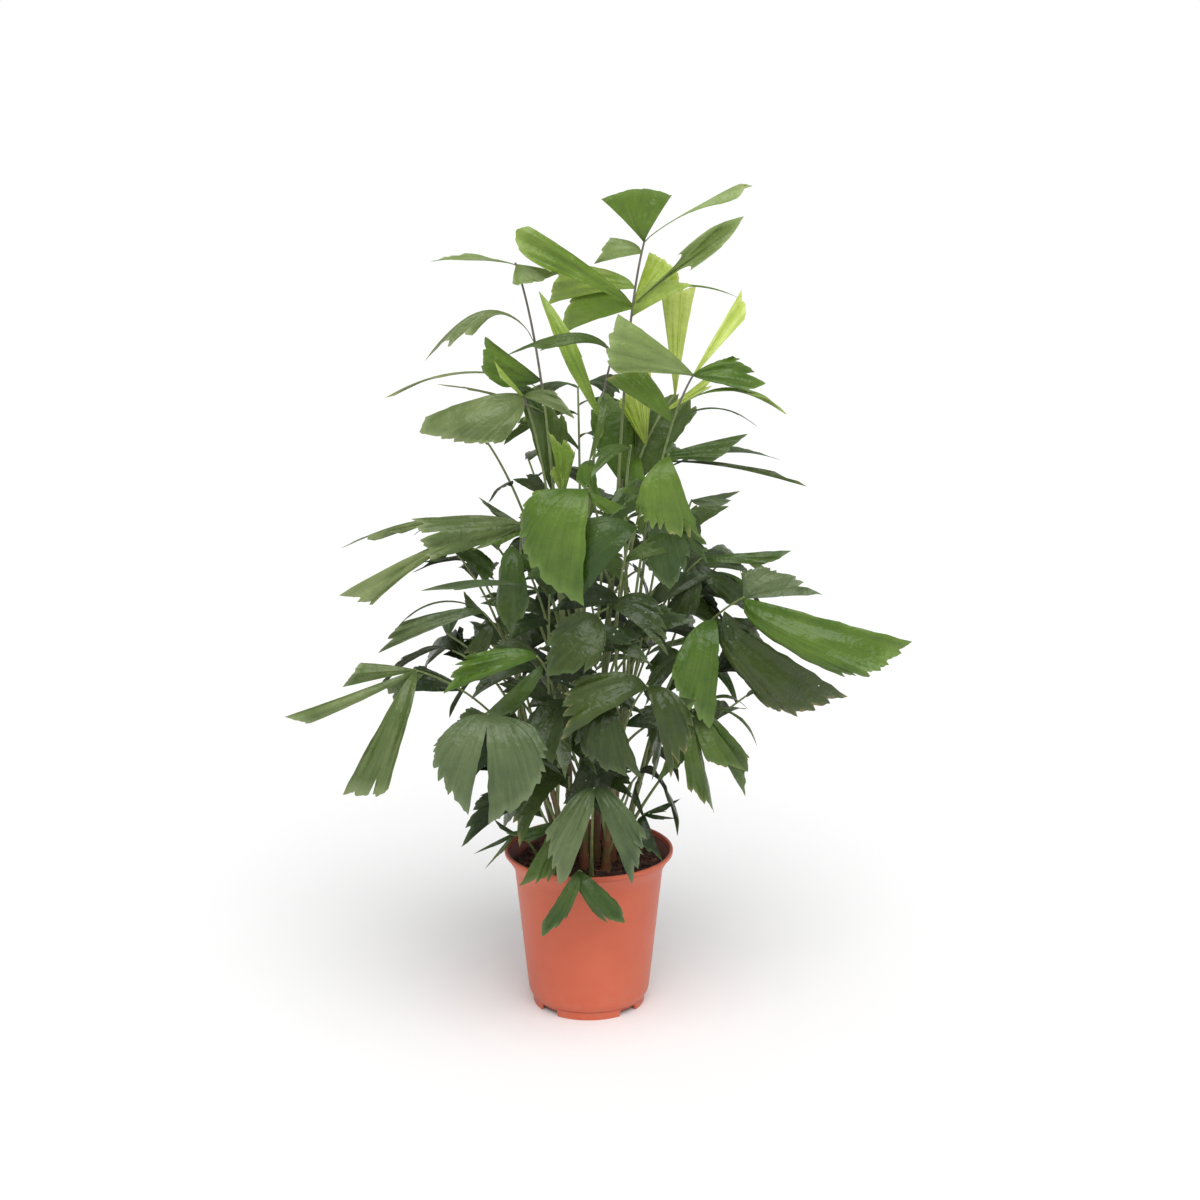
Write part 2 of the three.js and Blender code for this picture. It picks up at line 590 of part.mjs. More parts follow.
function leafSamples(frame) {
  const width = frame.length * Math.abs(frame.leaflet.spread) * degrees;
  const rows = Math.ceil(frame.length / sampleStep);
  const columns = Math.max(1, Math.ceil(width / sampleStep));
  const samples = [];
  for (let row = 1; row <= rows; row += 1) {
    for (let column = 0; column <= columns; column += 1) {
      samples.push({ point: leafPoint(frame, column / columns, row / rows), room: leafRoom });
    }
  }
  return samples;
}

// A thin blade: rows of points from its root to its tips, on both faces, joined round the edge.
function leafSolid(frame) {
  const narrow = frame.leaflet.plain || Math.abs(frame.leaflet.spread) < narrowSpread;
  const steps = frame.length > longLeaf && !frame.leaflet.plain ? longRows : shortRows;
  const rows = [narrow ? [0, 1] : [0.5], ...steps.map(() => (narrow ? [0, 1] : [0, 0.5, 1]))];
  const half = Math.max(leafThickness, frame.length * leafThicknessShare) / 2;
  const front = [];
  const back = [];
  rows.forEach((parts, row) => parts.forEach((part) => {
    const point = leafPoint(frame, part, row === 0 ? 0 : steps[row - 1]);
    front.push(point.clone().addScaledVector(frame.face, half));
    back.push(point.addScaledVector(frame.face, -half));
  }));
  const skin = [];
  const left = [];
  const right = [];
  let first = 0;
  for (let row = 0; row + 1 < rows.length; row += 1) {
    const next = first + rows[row].length;
    const spare = rows[row + 1].length - rows[row].length;
    for (let column = 0; column + 1 < rows[row + 1].length; column += 1) {
      const near = first + Math.max(0, column - spare);
      skin.push([near, next + column, next + column + 1]);
      if (spare === 0) skin.push([near, next + column + 1, near + 1]);
    }
    left.push([first, next]);
    right.unshift([next + rows[row + 1].length - 1, next - 1]);
    first = next;
  }
  const last = rows.at(-1).map((part, column) => first + column);
  const edge = [...left, ...last.slice(1).map((corner) => [corner - 1, corner]), ...right];
  if (narrow) edge.push([1, 0]);
  const offset = front.length;
  const faces = [...skin, ...skin.map(([a, b, c]) => [a + offset, c + offset, b + offset])];
  edge.forEach(([a, b]) => faces.push([b, a, a + offset], [b, a + offset, b + offset]));
  const inward = frame.leaflet.spread < 0;
  const index = faces.flatMap(([a, b, c]) => (inward ? [a, c, b] : [a, b, c]));
  return toSolid(indexed([...front, ...back].flatMap((point) => point.toArray()), index));
}

// Finds a stalk a clear way out from its foot, or nothing.
function placeStalk(frond) {
  const foot = frond.soil ? 'soil' : canes[frond.cane].name;
  const own = [foot, frond.name];
  const curves = stalkShifts.flatMap((shift) => stalkTurns.map((turn) => stalkCurve(frond, turn, shift)));
  const curve = curves.find((option) => isClear(stalkSamples(option), own));
  if (!curve) return null;
  fill(stalkSamples(curve), frond.name);
  return { frond, curve, foot, frames: [] };
}

// A leaflet turns a little to keep clear of other fronds, and is left out where it can't.
function placeLeaflets(placed, leaflets) {
  for (const leaflet of leaflets) {
    const root = stalkPoint(placed.curve, Math.min(leaflet.share, lastShare));
    const frames = leafTurns.map((turn) => leafFrame(placed.frond, leaflet, root, turn));
    const frame = frames.find((option) => isClear(leafSamples(option), [placed.frond.name]));
    if (frame) {
      fill(leafSamples(frame), placed.frond.name);
      placed.frames.push(frame);
    }
  }
}

// The smaller leaflets lower down a stalk, inside the crown.
function innerLeaflets(placed, order) {
  seed = firstSeed + (order + backFrondCount) * seedStep;
  const start = placed.curve.v0;
  const bearing = Math.atan2(placed.frond.tip[1] - start.y, placed.frond.tip[0] - start.x);
  return innerShares.map((share, step) => drawLeaf(innerLeaf, share, bearing, (step + order) % 2 ? 1 : -1));
}

function buildFrond(placed) {
  const whole = addAll([stalkSolid(placed.curve), ...placed.frames.map(leafSolid)]);
  const holder = placed.frond.soil ? soilClearance : caneClearances.get(placed.foot);
  const geometry = toGeometry(largestPiece(whole.subtract(holder)));
  addMesh(placed.frond.name, geometry, toneColours[placed.frond.tone], 0.5);
}

addMesh('pot', makePot(), potColour, 0.45);
addMesh('soil', makeSoil(), soilColour, 0.95);

const caneClearances = new Map();
for (const cane of canes) {
  addMesh(cane.name, ringSolid(caneRings(cane)), caneColour, 0.55);
  caneClearances.set(cane.name, toSolid(ringSolid(caneRings(cane, caneClearance))));
  fillCane(cane);
}
const soilSlab = new THREE.BoxGeometry(2 * lipRadius, 2 * lipRadius, soilSlabDepth);
soilSlab.translate(0, 0, soilTop + seatGap - soilSlabDepth / 2);
const soilClearance = toSolid(soilSlab);

// The pot's lip and wall keep leaves off them.
const potGuard = [];
for (let height = 0; height <= potHeight; height += sampleStep) {
  const radius = height > neckHeight ? lipRadius : neckRadius;
  for (let turn = 0; turn < 2 * Math.PI; turn += sampleStep / lipRadius) {
    potGuard.push({ point: fromBearing(turn, radius, height), room: potRoom });
  }
}
fill(potGuard, 'pot');

// The seen side's fronds are placed whole first, then the far side's, and the inner leaflets between.
const front = frontFronds.map(placeStalk);
front.forEach((placed) => placeLeaflets(placed, placed.frond.leaflets));
const back = [];
for (let index = 0; index < backFrondCount; index += 1) {
  for (const swing of backSwings) {
    const placed = placeStalk(backFrond(index, swing));
    if (placed) {
      back.push(placed);
      break;
    }
  }
}
front.forEach((placed, order) => {
  if (!placed.frond.soil) placeLeaflets(placed, innerLeaflets(placed, order));
});
back.forEach((placed) => placeLeaflets(placed, placed.frond.leaflets));
[...front, ...back].forEach(buildFrond);

export default group;
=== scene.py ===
import math

import bpy
import numpy as np
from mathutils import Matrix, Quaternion, Vector


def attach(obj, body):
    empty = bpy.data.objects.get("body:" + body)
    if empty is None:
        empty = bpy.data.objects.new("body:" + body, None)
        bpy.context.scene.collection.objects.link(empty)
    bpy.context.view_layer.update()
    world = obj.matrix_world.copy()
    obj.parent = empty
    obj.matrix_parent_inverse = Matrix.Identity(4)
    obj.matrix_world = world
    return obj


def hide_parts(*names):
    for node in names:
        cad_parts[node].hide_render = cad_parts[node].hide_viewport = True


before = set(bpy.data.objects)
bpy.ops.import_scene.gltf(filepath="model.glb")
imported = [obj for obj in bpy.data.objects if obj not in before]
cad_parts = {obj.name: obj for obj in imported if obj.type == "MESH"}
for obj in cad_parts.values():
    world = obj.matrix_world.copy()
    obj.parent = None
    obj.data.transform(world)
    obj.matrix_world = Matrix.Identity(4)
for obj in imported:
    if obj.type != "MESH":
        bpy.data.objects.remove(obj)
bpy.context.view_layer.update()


# The studio is a sheet of white paper on the ground, with a white room round it. A very broad
# softbox hangs high in front of the plant and a little to its right. None of it is the plant's.
CAMERA_PLACE = (0.016, -2.8, 1.277)
CAMERA_PITCH = 13.74
CAMERA_LENS = 62.52
CAMERA_SENSOR = 36
PAPER_SIDE = 60
PAPER_COLOUR = (0.9, 0.9, 0.9, 1)
PAPER_GRAIN = 0.0002
ROOM_COLOUR = (1, 1, 1, 1)
ROOM_LIGHT = 0.5
ROOM_SEEN = 1.0
SOFTBOX_STRENGTH = 2.6
SOFTBOX_ANGLE = 60
SOFTBOX_TILT = (33, 5)


def put(name, data):
    """A new object in the scene."""
    made = bpy.data.objects.new(name, data)
    bpy.context.scene.collection.objects.link(made)
    return made


def add_node(tree, kind, sockets, **settings):
    """A new node. A socket's value is a number or a colour, or another node's output to join to it."""
    made = tree.nodes.new(kind)
    for name, value in settings.items():
        setattr(made, name, value)
    for name, value in sockets.items():
        if isinstance(value, bpy.types.NodeSocket):
            tree.links.new(value, made.inputs[name])
        else:
            made.inputs[name].default_value = value
    return made


camera = put("camera", bpy.data.cameras.new("camera"))
camera.location = CAMERA_PLACE
camera.rotation_euler = (math.radians(90 - CAMERA_PITCH), 0, 0)
camera.data.lens = CAMERA_LENS
camera.data.sensor_width = CAMERA_SENSOR
bpy.context.scene.camera = camera

softbox = put("softbox", bpy.data.lights.new("softbox", "SUN"))
softbox.data.energy = SOFTBOX_STRENGTH
softbox.data.angle = math.radians(SOFTBOX_ANGLE)
softbox.rotation_euler = (math.radians(SOFTBOX_TILT[0]), math.radians(SOFTBOX_TILT[1]), 0)

room = bpy.data.worlds.new("room")
room.use_nodes = True
walls = room.node_tree.nodes["Background"]
walls.inputs["Color"].default_value = ROOM_COLOUR
seen = add_node(room.node_tree, "ShaderNodeLightPath", {}).outputs["Is Camera Ray"]
strength = add_node(room.node_tree, "ShaderNodeMapRange",
                    {"Value": seen, "To Min": ROOM_LIGHT, "To Max": ROOM_SEEN})
room.node_tree.links.new(strength.outputs[0], walls.inputs["Strength"])
bpy.context.scene.world = room
bpy.context.scene.view_settings.view_transform = "Standard"


def new_finish(name, colour, roughness):
    """A material and its shader, with a plain colour and roughness to start from."""
    made = bpy.data.materials.new(name)
    made.use_nodes = True
    shader = made.node_tree.nodes["Principled BSDF"]
    shader.inputs["Base Color"].default_value = colour
    shader.inputs["Roughness"].default_value = roughness
    return made, shader


def own_places(shader):
    """Where each point of a surface lies, in metres."""
    return add_node(shader.id_data, "ShaderNodeTexCoord", {}).outputs["Object"]


def noise(places, scale, detail=3.0, rough=0.55):
    """A cloudy pattern from 0 to 1 over the given places."""
    sockets = {"Vector": places, "Scale": scale, "Detail": detail, "Roughness": rough}
    return add_node(places.id_data, "ShaderNodeTexNoise", sockets).outputs[0]


def dress(shader, colour=None, relief=None, depth=0.0, roughness=None, strength=1.0):
    """Joins patterns to a shader: its colour, a relief so many metres deep, and its roughness."""
    if relief:
        sockets = {"Height": relief, "Distance": depth, "Strength": strength}
        relief = add_node(shader.id_data, "ShaderNodeBump", sockets).outputs[0]
    for name, pattern in (("Base Color", colour), ("Normal", relief), ("Roughness", roughness)):
        if pattern:
            shader.id_data.links.new(pattern, shader.inputs[name])


paper_finish, shader = new_finish("paper", PAPER_COLOUR, 0.9)
dress(shader, relief=noise(own_places(shader), 900), depth=PAPER_GRAIN)
mesh = bpy.data.meshes.new("paper")
half = PAPER_SIDE / 2
mesh.from_pydata([(-half, -half, 0), (half, -half, 0), (half, half, 0), (-half, half, 0)], [], [(0, 1, 2, 3)])
mesh.materials.append(paper_finish)
paper = put("paper", mesh)


# The pot is a thin tub of terracotta-coloured plastic, injection moulded in one piece. Its mouth
# flares to a rolled bead, and its foot ring has four notches that let water out from below.
MM = 0.001
POT_HEIGHT = 230
POT_COLUMNS = 240
LIP_RADIUS = 120
LIP_BEAD = 6
BEAD_STAND = 4.2
NECK_RADIUS = 105.5
NECK_HEIGHT = 203
HEEL_RADIUS = 86.5
HEEL_HEIGHT = 20
FOOT_RADIUS = 80
FOOT_HEIGHT = 12
FOOT_RING_WIDTH = 3
FOOT_STEP = 2.5
POT_WALL = 2.4
POT_FLOOR = 9
PAD_RADIUS = 24
DRAIN_COUNT = 4
DRAIN_RADIUS = 6
DRAIN_PLACE = 62
DRILL_LENGTH = 40
NOTCH_WIDTH = 31
NOTCH_HEIGHT = 9
RECESS_HEIGHT = 6
POT_COLOUR = (0.54, 0.1, 0.044, 1)
POT_WARM_COLOUR = (0.59, 0.125, 0.058, 1)
POT_INNER_SHADE_COLOUR = (0.24, 0.04, 0.022, 1)
POT_INNER_SHADE_BLOTCH_COLOUR = (0.09, 0.026, 0.016, 1)
POT_DUST_COLOUR = (0.5, 0.2, 0.14, 1)


def smooth_path(corners, rounding, steps=6):
    """A profile with each inner corner rounded off by a short curve."""
    path = [corners[0]]
    for before, corner, after, radius in zip(corners, corners[1:], corners[2:], rounding):
        into = (before - corner).normalized() * min(radius, (before - corner).length * 0.45)
        out = (after - corner).normalized() * min(radius, (after - corner).length * 0.45)
        path.extend(corner + into * (1 - step / steps) ** 2 + out * (step / steps) ** 2
                    for step in range(steps + 1))
    path.append(corners[-1])
    return path


def turns(count):
    """Even bearings once round the upright axis."""
    return [2 * math.pi * step / count for step in range(count)]


def from_bearing(bearing, outward, rise):
    return Vector((math.cos(bearing) * outward, math.sin(bearing) * outward, rise))


def skin_rings(rings, start=0):
    """Faces of a body whose rings of points follow each other up from index start. It closes on a
    ring of one point at either end, or else with a flat face."""
    faces = []
    first = start
    for low, high in zip(rings, rings[1:]):
        above = start + len(low)
        for side in range(max(len(low), len(high))):
            corners = (start + side % len(low), start + (side + 1) % len(low),
                       above + (side + 1) % len(high), above + side % len(high))
            faces.append(tuple(dict.fromkeys(corners)))
        start = above
    if len(rings[0]) > 1:
        faces.append(tuple(reversed(range(first, first + len(rings[0])))))
        faces.append(tuple(range(start, start + len(rings[-1]))))
    return faces


def add_piece(name, points, faces, finishes, kinds=None, smooth_angle=35):
    """A mesh object in metres that rides with the plant. Points are in millimetres, and kinds says
    which finish each face has."""
    made = bpy.data.meshes.new(name)
    made.from_pydata(np.asarray(points, float) * MM, [], faces)
    for finish in finishes:
        made.materials.append(finish)
    if kinds is not None:
        made.polygons.foreach_set("material_index", np.asarray(kinds, np.int32))
    made.polygons.foreach_set("use_smooth", np.ones(len(made.polygons), bool))
    made.set_sharp_from_angle(angle=math.radians(smooth_angle))
    made.update()
    piece = put(name, made)
    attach(piece, "root")
    return piece


def add_body(name, rings, finishes, kinds=None, smooth_angle=35):
    points = [point for ring in rings for point in ring]
    return add_piece(name, points, skin_rings(rings), finishes, kinds, smooth_angle)


def spread_out(value, low, high):
    """Stretches a pattern's values between low and high to the whole range from 0 to 1."""
    sockets = {"Value": value, "From Min": low, "From Max": high}
    return add_node(value.id_data, "ShaderNodeMapRange", sockets).outputs[0]


def blend(factor, first, second):
    """A colour between two others. Either may be a plain colour or another node's output."""
    sockets = {0: factor, 6: first, 7: second}
    return add_node(factor.id_data, "ShaderNodeMix", sockets, data_type="RGBA").outputs[2]


def reckon(operation, value, *others):
    """Works a pattern out from others, or from plain numbers, one after the other."""
    for other in others or (0,):
        node = add_node(value.id_data, "ShaderNodeMath", {0: value, 1: other}, operation=operation)
        value = node.outputs[0]
    return value


def multiply(value, *others):
    return reckon("MULTIPLY", value, *others)


def add_up(value, *others):
    return reckon("ADD", value, *others)


def stretched(places, scale):
    """Places scaled differently along X, Y and Z."""
    return add_node(places.id_data, "ShaderNodeMapping", {"Vector": places, "Scale": scale}).outputs[0]


def height_of(places):
    return add_node(places.id_data, "ShaderNodeSeparateXYZ", {"Vector": places}).outputs[2]


# Corners of the profile from the middle of the underside, out, up, over the lip and down inside.
pot_corners = [Vector(corner) for corner in [
    (0, 0), (PAD_RADIUS, 0), (PAD_RADIUS, RECESS_HEIGHT), (FOOT_RADIUS - FOOT_RING_WIDTH, RECESS_HEIGHT),
    (FOOT_RADIUS - FOOT_RING_WIDTH, 0), (FOOT_RADIUS, 0), (FOOT_RADIUS, FOOT_HEIGHT),
    (FOOT_RADIUS + FOOT_STEP, FOOT_HEIGHT + 1), (HEEL_RADIUS, HEEL_HEIGHT), (NECK_RADIUS, NECK_HEIGHT),
    (LIP_RADIUS - BEAD_STAND, POT_HEIGHT - LIP_BEAD - 3),
    (LIP_RADIUS - BEAD_STAND, POT_HEIGHT - LIP_BEAD - 0.6),
    (LIP_RADIUS, POT_HEIGHT - LIP_BEAD), (LIP_RADIUS, POT_HEIGHT),
    (LIP_RADIUS - 4.5, POT_HEIGHT), (LIP_RADIUS - 5, POT_HEIGHT - LIP_BEAD),
    (NECK_RADIUS - POT_WALL, NECK_HEIGHT + 2), (HEEL_RADIUS - POT_WALL, HEEL_HEIGHT),
    (FOOT_RADIUS - 1, POT_FLOOR), (0, POT_FLOOR),
]]
pot_rounding = [0.4, 0.4, 0.4, 0.5, 0.8, 0.4, 0.6, 6, 7, 1.2, 0.5, 1.8, 2.2, 2, 4, 12, 9, 3]
pot_path = smooth_path(pot_corners, pot_rounding)
rim_ring = max(n for n, corner in enumerate(pot_path) if corner[1] > POT_HEIGHT - LIP_BEAD)
notch_half_turn = math.asin(NOTCH_WIDTH / 2 / FOOT_RADIUS)
pot_rings = [[(0, 0, 0)]]
for radius, height in pot_path[1:-1]:
    ring = []
    for turn in turns(POT_COLUMNS):
        from_notch = abs((turn / (math.pi / 2)) % 1 - 0.5) * math.pi / 2
        notched = from_notch < notch_half_turn and radius > FOOT_RADIUS - FOOT_RING_WIDTH - 1
        ring.append(from_bearing(turn, radius, max(height, NOTCH_HEIGHT) if notched else height))
    pot_rings.append(ring)
pot_rings.append([(0, 0, POT_FLOOR)])
# The strips past the lip's bead, the inner wall and the floor inside, take the painted shade.
pot_kinds = [int(strip > rim_ring) for strip in range(len(pot_rings) - 1) for _ in range(POT_COLUMNS)]

pot_finish, shader = new_finish("moulded_plastic", POT_COLOUR, 0.42)
places = own_places(shader)
colour = blend(spread_out(noise(places, 9, 4), 0.35, 0.68), POT_COLOUR, POT_WARM_COLOUR)
dust = multiply(spread_out(noise(places, 60, 6), 0.45, 0.75), 0.5, spread_out(height_of(places), 0.06, 0.0))
scuffs = noise(stretched(places, (30, 30, 160)), 2.0, 5)
drawing = add_up(noise(places, 700, 2), multiply(scuffs, 0.8))
dress(shader, blend(dust, colour, POT_DUST_COLOUR), drawing, 0.00015, add_up(multiply(scuffs, 0.16), 0.34))
# Painted shade: the inner wall takes a dark brown finish with darker blotches, for the shade inside.
inner_shade_finish, shader = new_finish("painted_shade_inner_wall", POT_INNER_SHADE_COLOUR, 0.5)
inner_shade_blotches = noise(stretched(own_places(shader), (40, 40, 90)), 1.0, 5)
dress(shader, blend(spread_out(inner_shade_blotches, 0.38, 0.66), POT_INNER_SHADE_COLOUR, POT_INNER_SHADE_BLOTCH_COLOUR), inner_shade_blotches, 0.0002)
pot = add_body("pot_moulded", pot_rings, [pot_finish, inner_shade_finish], pot_kinds, smooth_angle=50)
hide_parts("pot")

drills = []
for turn in turns(DRAIN_COUNT):
    place = from_bearing(turn + math.pi / DRAIN_COUNT, DRAIN_PLACE, 0) * MM
    bpy.ops.mesh.primitive_cylinder_add(
        vertices=32, radius=DRAIN_RADIUS * MM, depth=DRILL_LENGTH * MM, location=place)
    drills.append(bpy.context.object)
for drill in drills:
    cut = pot.modifiers.new("drain", "BOOLEAN")
    cut.operation = "DIFFERENCE"
    cut.object = drill
    cut.solver = "EXACT"
bpy.context.view_layer.update()
cut_mesh = bpy.data.meshes.new_from_object(pot.evaluated_get(bpy.context.evaluated_depsgraph_get()))
pot.modifiers.clear()
pot.data = cut_mesh
for drill in drills:
    bpy.data.objects.remove(drill)


# The soil is a moist mix of bark and peat, pressed in round the canes to a little under the lip.
# Its skin is lumpy, and loose chips of bark and a few pale grains lie on it.
SOIL_TOP = 212
SOIL_RADIUS = 103.4
SOIL_RINGS = 46
SOIL_COLUMNS = 150
SOIL_LUMP = 2.6
WAVE_COUNT = 14
WAVE_PITCHES = (0.03, 0.35)
SOIL_MOUND = 5
MOUND_SPREAD = 2600
CHIP_COUNT = 900
CHIP_LENGTHS = (4, 15)
CHIP_WIDTHS = (0.3, 0.8)
CHIP_DEPTHS = (0.15, 0.45)
CHIP_MARGIN = 5
GRAIN_COUNT = 40
GRAIN_LENGTHS = (1.6, 3.2)
FIBRE_SHARE = 0.35
FIBRE_LENGTHS = (14, 34)
FIBRE_WIDTH = 1.1
SOIL_COLOUR = (0.026, 0.011, 0.007, 1)
PEAT_COLOUR = (0.085, 0.034, 0.02, 1)
BARK_COLOUR = (0.2, 0.07, 0.035, 1)
GRAIN_COLOUR = (0.5, 0.45, 0.38, 1)

chance = np.random.default_rng(11)
soil_waves = [(chance.uniform(*WAVE_PITCHES), chance.uniform(0, 6.3), chance.uniform(0, 6.3))
              for _ in range(WAVE_COUNT)]


def soil_height(x, y):
    """The height of the soil's skin at a place, higher towards the middle of the clump."""
    lumps = sum(math.sin(x * wave * math.cos(turn) + y * wave * math.sin(turn) + phase)
                for wave, turn, phase in soil_waves)
    mound = SOIL_MOUND * math.exp(-(x * x + y * y) / MOUND_SPREAD)
    return SOIL_TOP - 3 + mound + SOIL_LUMP * lumps / 4


# The rings run out over the skin and in under the soil, and are turned over to run up.
soil_rings = [[(0, 0, soil_height(0, 0))]]
for ring in range(1, SOIL_RINGS + 1):
    spots = [from_bearing(turn, SOIL_RADIUS * ring / SOIL_RINGS, 0) for turn in turns(SOIL_COLUMNS)]
    soil_rings.append([(x, y, soil_height(x, y) + chance.normal(0, 0.5)) for x, y, _ in spots])
scale = (HEEL_RADIUS - POT_WALL - 1) / SOIL_RADIUS
soil_rings.append([(x * scale, y * scale, HEEL_HEIGHT) for x, y, _ in soil_rings[-1]])
soil_rings.append([(0, 0, HEEL_HEIGHT)])

soil_finish, shader = new_finish("moist_soil", SOIL_COLOUR, 0.85)
crumbs = noise(own_places(shader), 260, 6, 0.65)
dress(shader, blend(spread_out(crumbs, 0.42, 0.68), SOIL_COLOUR, PEAT_COLOUR), crumbs, 0.003)
soil = add_body("soil_bed", soil_rings[::-1], [soil_finish])
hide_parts("soil")


def lump(centre, size, turn):
    """The eight corners of a rough block, knocked out of true."""
    corners = np.array([(x, y, z) for z in (-1, 1) for y in (-1, 1) for x in (-1, 1)], float)
    corners *= 1 - 0.5 * chance.random((8, 3))
    corners *= np.array(size) / 2
    return [Vector(corner) @ turn.to_matrix() + centre for corner in corners]


BLOCK_FACES = [(0, 2, 3, 1), (4, 5, 7, 6), (0, 1, 5, 4), (2, 6, 7, 3), (0, 4, 6, 2), (1, 3, 7, 5)]
chip_points = []
chip_faces = []
chip_kinds = []
for chip in range(CHIP_COUNT + GRAIN_COUNT):
    grain = chip >= CHIP_COUNT
    radius = (SOIL_RADIUS - CHIP_MARGIN) * math.sqrt(chance.random())
    place = from_bearing(chance.uniform(0, 2 * math.pi), radius, 0)
    length = chance.uniform(*(GRAIN_LENGTHS if grain else CHIP_LENGTHS))
    if not grain:
        length *= chance.uniform(0.5, 1)
    size = (length, length * chance.uniform(*CHIP_WIDTHS), length * chance.uniform(*CHIP_DEPTHS))
    if not grain and chance.random() < FIBRE_SHARE:
        size = (min(chance.uniform(*FIBRE_LENGTHS), SOIL_RADIUS + 2 - radius), FIBRE_WIDTH, FIBRE_WIDTH)
    tilt = Quaternion((chance.normal(), chance.normal(), 0.001), chance.uniform(0, 0.7))
    spin = Quaternion((0, 0, 1), chance.uniform(0, 6.3))
    place.z = soil_height(place.x, place.y) + size[2] * 0.3
    chip_faces.extend(tuple(len(chip_points) + corner for corner in face) for face in BLOCK_FACES)
    chip_points.extend(lump(place, size, tilt @ spin))
    chip_kinds.extend([int(grain)] * len(BLOCK_FACES))

chip_finish, shader = new_finish("bark_chip", BARK_COLOUR, 0.8)
places = own_places(shader)
patches = spread_out(noise(places, 95, 5), 0.38, 0.66)
dress(shader, blend(patches, SOIL_COLOUR, BARK_COLOUR), noise(places, 420, 4), 0.0012)
grain_finish, shader = new_finish("pale_grain", GRAIN_COLOUR, 0.9)
dress(shader, blend(noise(own_places(shader), 800), GRAIN_COLOUR, BARK_COLOUR))
chips = add_piece("soil_chips", chip_points, chip_faces, [chip_finish, grain_finish], chip_kinds, 20)


# The canes are the clump's ten stems. Each is green and slim, ringed where old fronds came away,
# and wrapped in dry brown fibre at its foot. They lean out faster as they climb.
CANE_FOOT_RADIUS = 8
CANE_NECK_RADIUS = 6
CANE_TIP_RADIUS = 3.6
CANE_FLARE_HEIGHT = 26
CANE_SWEEP = 0.6
CANE_ROOM = 1
CANE_TOP_MARGIN = 20
CANE_SIDES = 18
CANE_STEP = 3.5
CANE_SINK = 6
SHEATH_STEP = 47
SHEATH_SHIFT = 17
SHEATH_SINK = 0.6
SHEATH_LIFT = 1.1
RIB_DEPTH = 0.18
CANES = [{"name": f"cane_{name}", "foot": foot, "top": top} for name, foot, top in [
    ("tall", (10, -2), (45, 10, 760)), ("left", (-26, -4), (-38, 5, 620)),
    ("right", (32, -6), (76, -5, 600)), ("front", (-6, -27), (-14, -62, 560)),
    ("back", (-4, 30), (-14, 78, 640)), ("far_left", (-44, 16), (-112, 26, 430)),
    ("far_right", (50, 18), (118, 34, 440)), ("front_right", (24, -36), (56, -82, 480)),
    ("front_left", (-32, -36), (-66, -88, 400)), ("back_right", (26, 44), (62, 120, 470)),
]]
CANE_COLOUR = (0.17, 0.2, 0.06, 1)
CANE_SHADE_COLOUR = (0.06, 0.09, 0.025, 1)
FIBRE_COLOUR = (0.19, 0.07, 0.032, 1)


def cane_climb(cane, height):
    """How far up its cane a height lies, from 0 at the soil to 1 at the tip."""
    return (height - SOIL_TOP) / (cane["top"][2] - SOIL_TOP)


def cane_centre(cane, height):
    climb = cane_climb(cane, height)
    lean = climb * climb * CANE_SWEEP + climb * (1 - CANE_SWEEP)
    x = cane["foot"][0] + (cane["top"][0] - cane["foot"][0]) * lean
    y = cane["foot"][1] + (cane["top"][1] - cane["foot"][1]) * lean
    return Vector((x, y, height))


def cane_radius(cane, height):
    flare = max(0, 1 - (height - SOIL_TOP) / CANE_FLARE_HEIGHT) * (CANE_FOOT_RADIUS - CANE_NECK_RADIUS)
    return CANE_NECK_RADIUS + (CANE_TIP_RADIUS - CANE_NECK_RADIUS) * cane_climb(cane, height) + flare


cane_finish, shader = new_finish("ringed_cane", CANE_COLOUR, 0.5)
places = own_places(shader)
fibres = noise(stretched(places, (1, 1, 0.05)), 520, 4)
colour = blend(spread_out(fibres, 0.35, 0.65), CANE_SHADE_COLOUR, CANE_COLOUR)
dry = multiply(spread_out(height_of(places), 0.46, 0.24), spread_out(noise(places, 45, 4), 0.3, 0.55))
dress(shader, blend(dry, colour, FIBRE_COLOUR), fibres, 0.0009)
for number, cane in enumerate(CANES):
    rings = []
    foot = SOIL_TOP - CANE_SINK
    top = cane["top"][2]
    count = int((top - SOIL_TOP) / CANE_STEP)
    for step in range(count + 1):
        height = foot + (top - foot) * step / count
        up_sheath = ((height + number * SHEATH_SHIFT) / SHEATH_STEP) % 1
        radius = cane_radius(cane, max(height, SOIL_TOP)) - SHEATH_SINK + SHEATH_LIFT * up_sheath ** 2
        ribs = {turn: RIB_DEPTH * math.sin(5 * turn + number) for turn in turns(CANE_SIDES)}
        rings.append([cane_centre(cane, height) + from_bearing(turn, radius + rib, 0)
                      for turn, rib in ribs.items()])
    piece = add_body(cane["name"] + "_stem", rings, [cane_finish])
    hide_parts(cane["name"])


# The fronds are the palm's compound leaves. A stalk leaves its cane steeply, arches over and
# carries leaflets at named shares of its length, each given by the way from its root to its tip.
STALK_FOOT_RADIUS = 3.6
STALK_TIP_RADIUS = 2.3
STALK_STEPS = 4
FINE_STEPS = 200
STALK_RISE = 0.75
STALK_LEAST_RISE = 0.35
STALK_REACH = 0.3
STALK_ROOM = 0.8
STALK_SINK = 4
STALK_TURNS = (0, 25, -25, 50, -50, 80, -80)
STALK_SHIFTS = (0, 14, -14, 28, -28, 42, -42, 60)
LEAF_ROOT_WIDTH = 2.4
LAST_SHARE = 0.99
TAIL_POWER = 1.5
EDGE_STRAIGHTNESS = 0.7
SHOULDER_POWER = 0.62
FAN_ARCH = 0.07
STRAP_ARCH = 0.17
STRAP_LOOK = (0, -0.35, 1)
STRAP_WAIST = 1.1
SAMPLE_STEP = 6
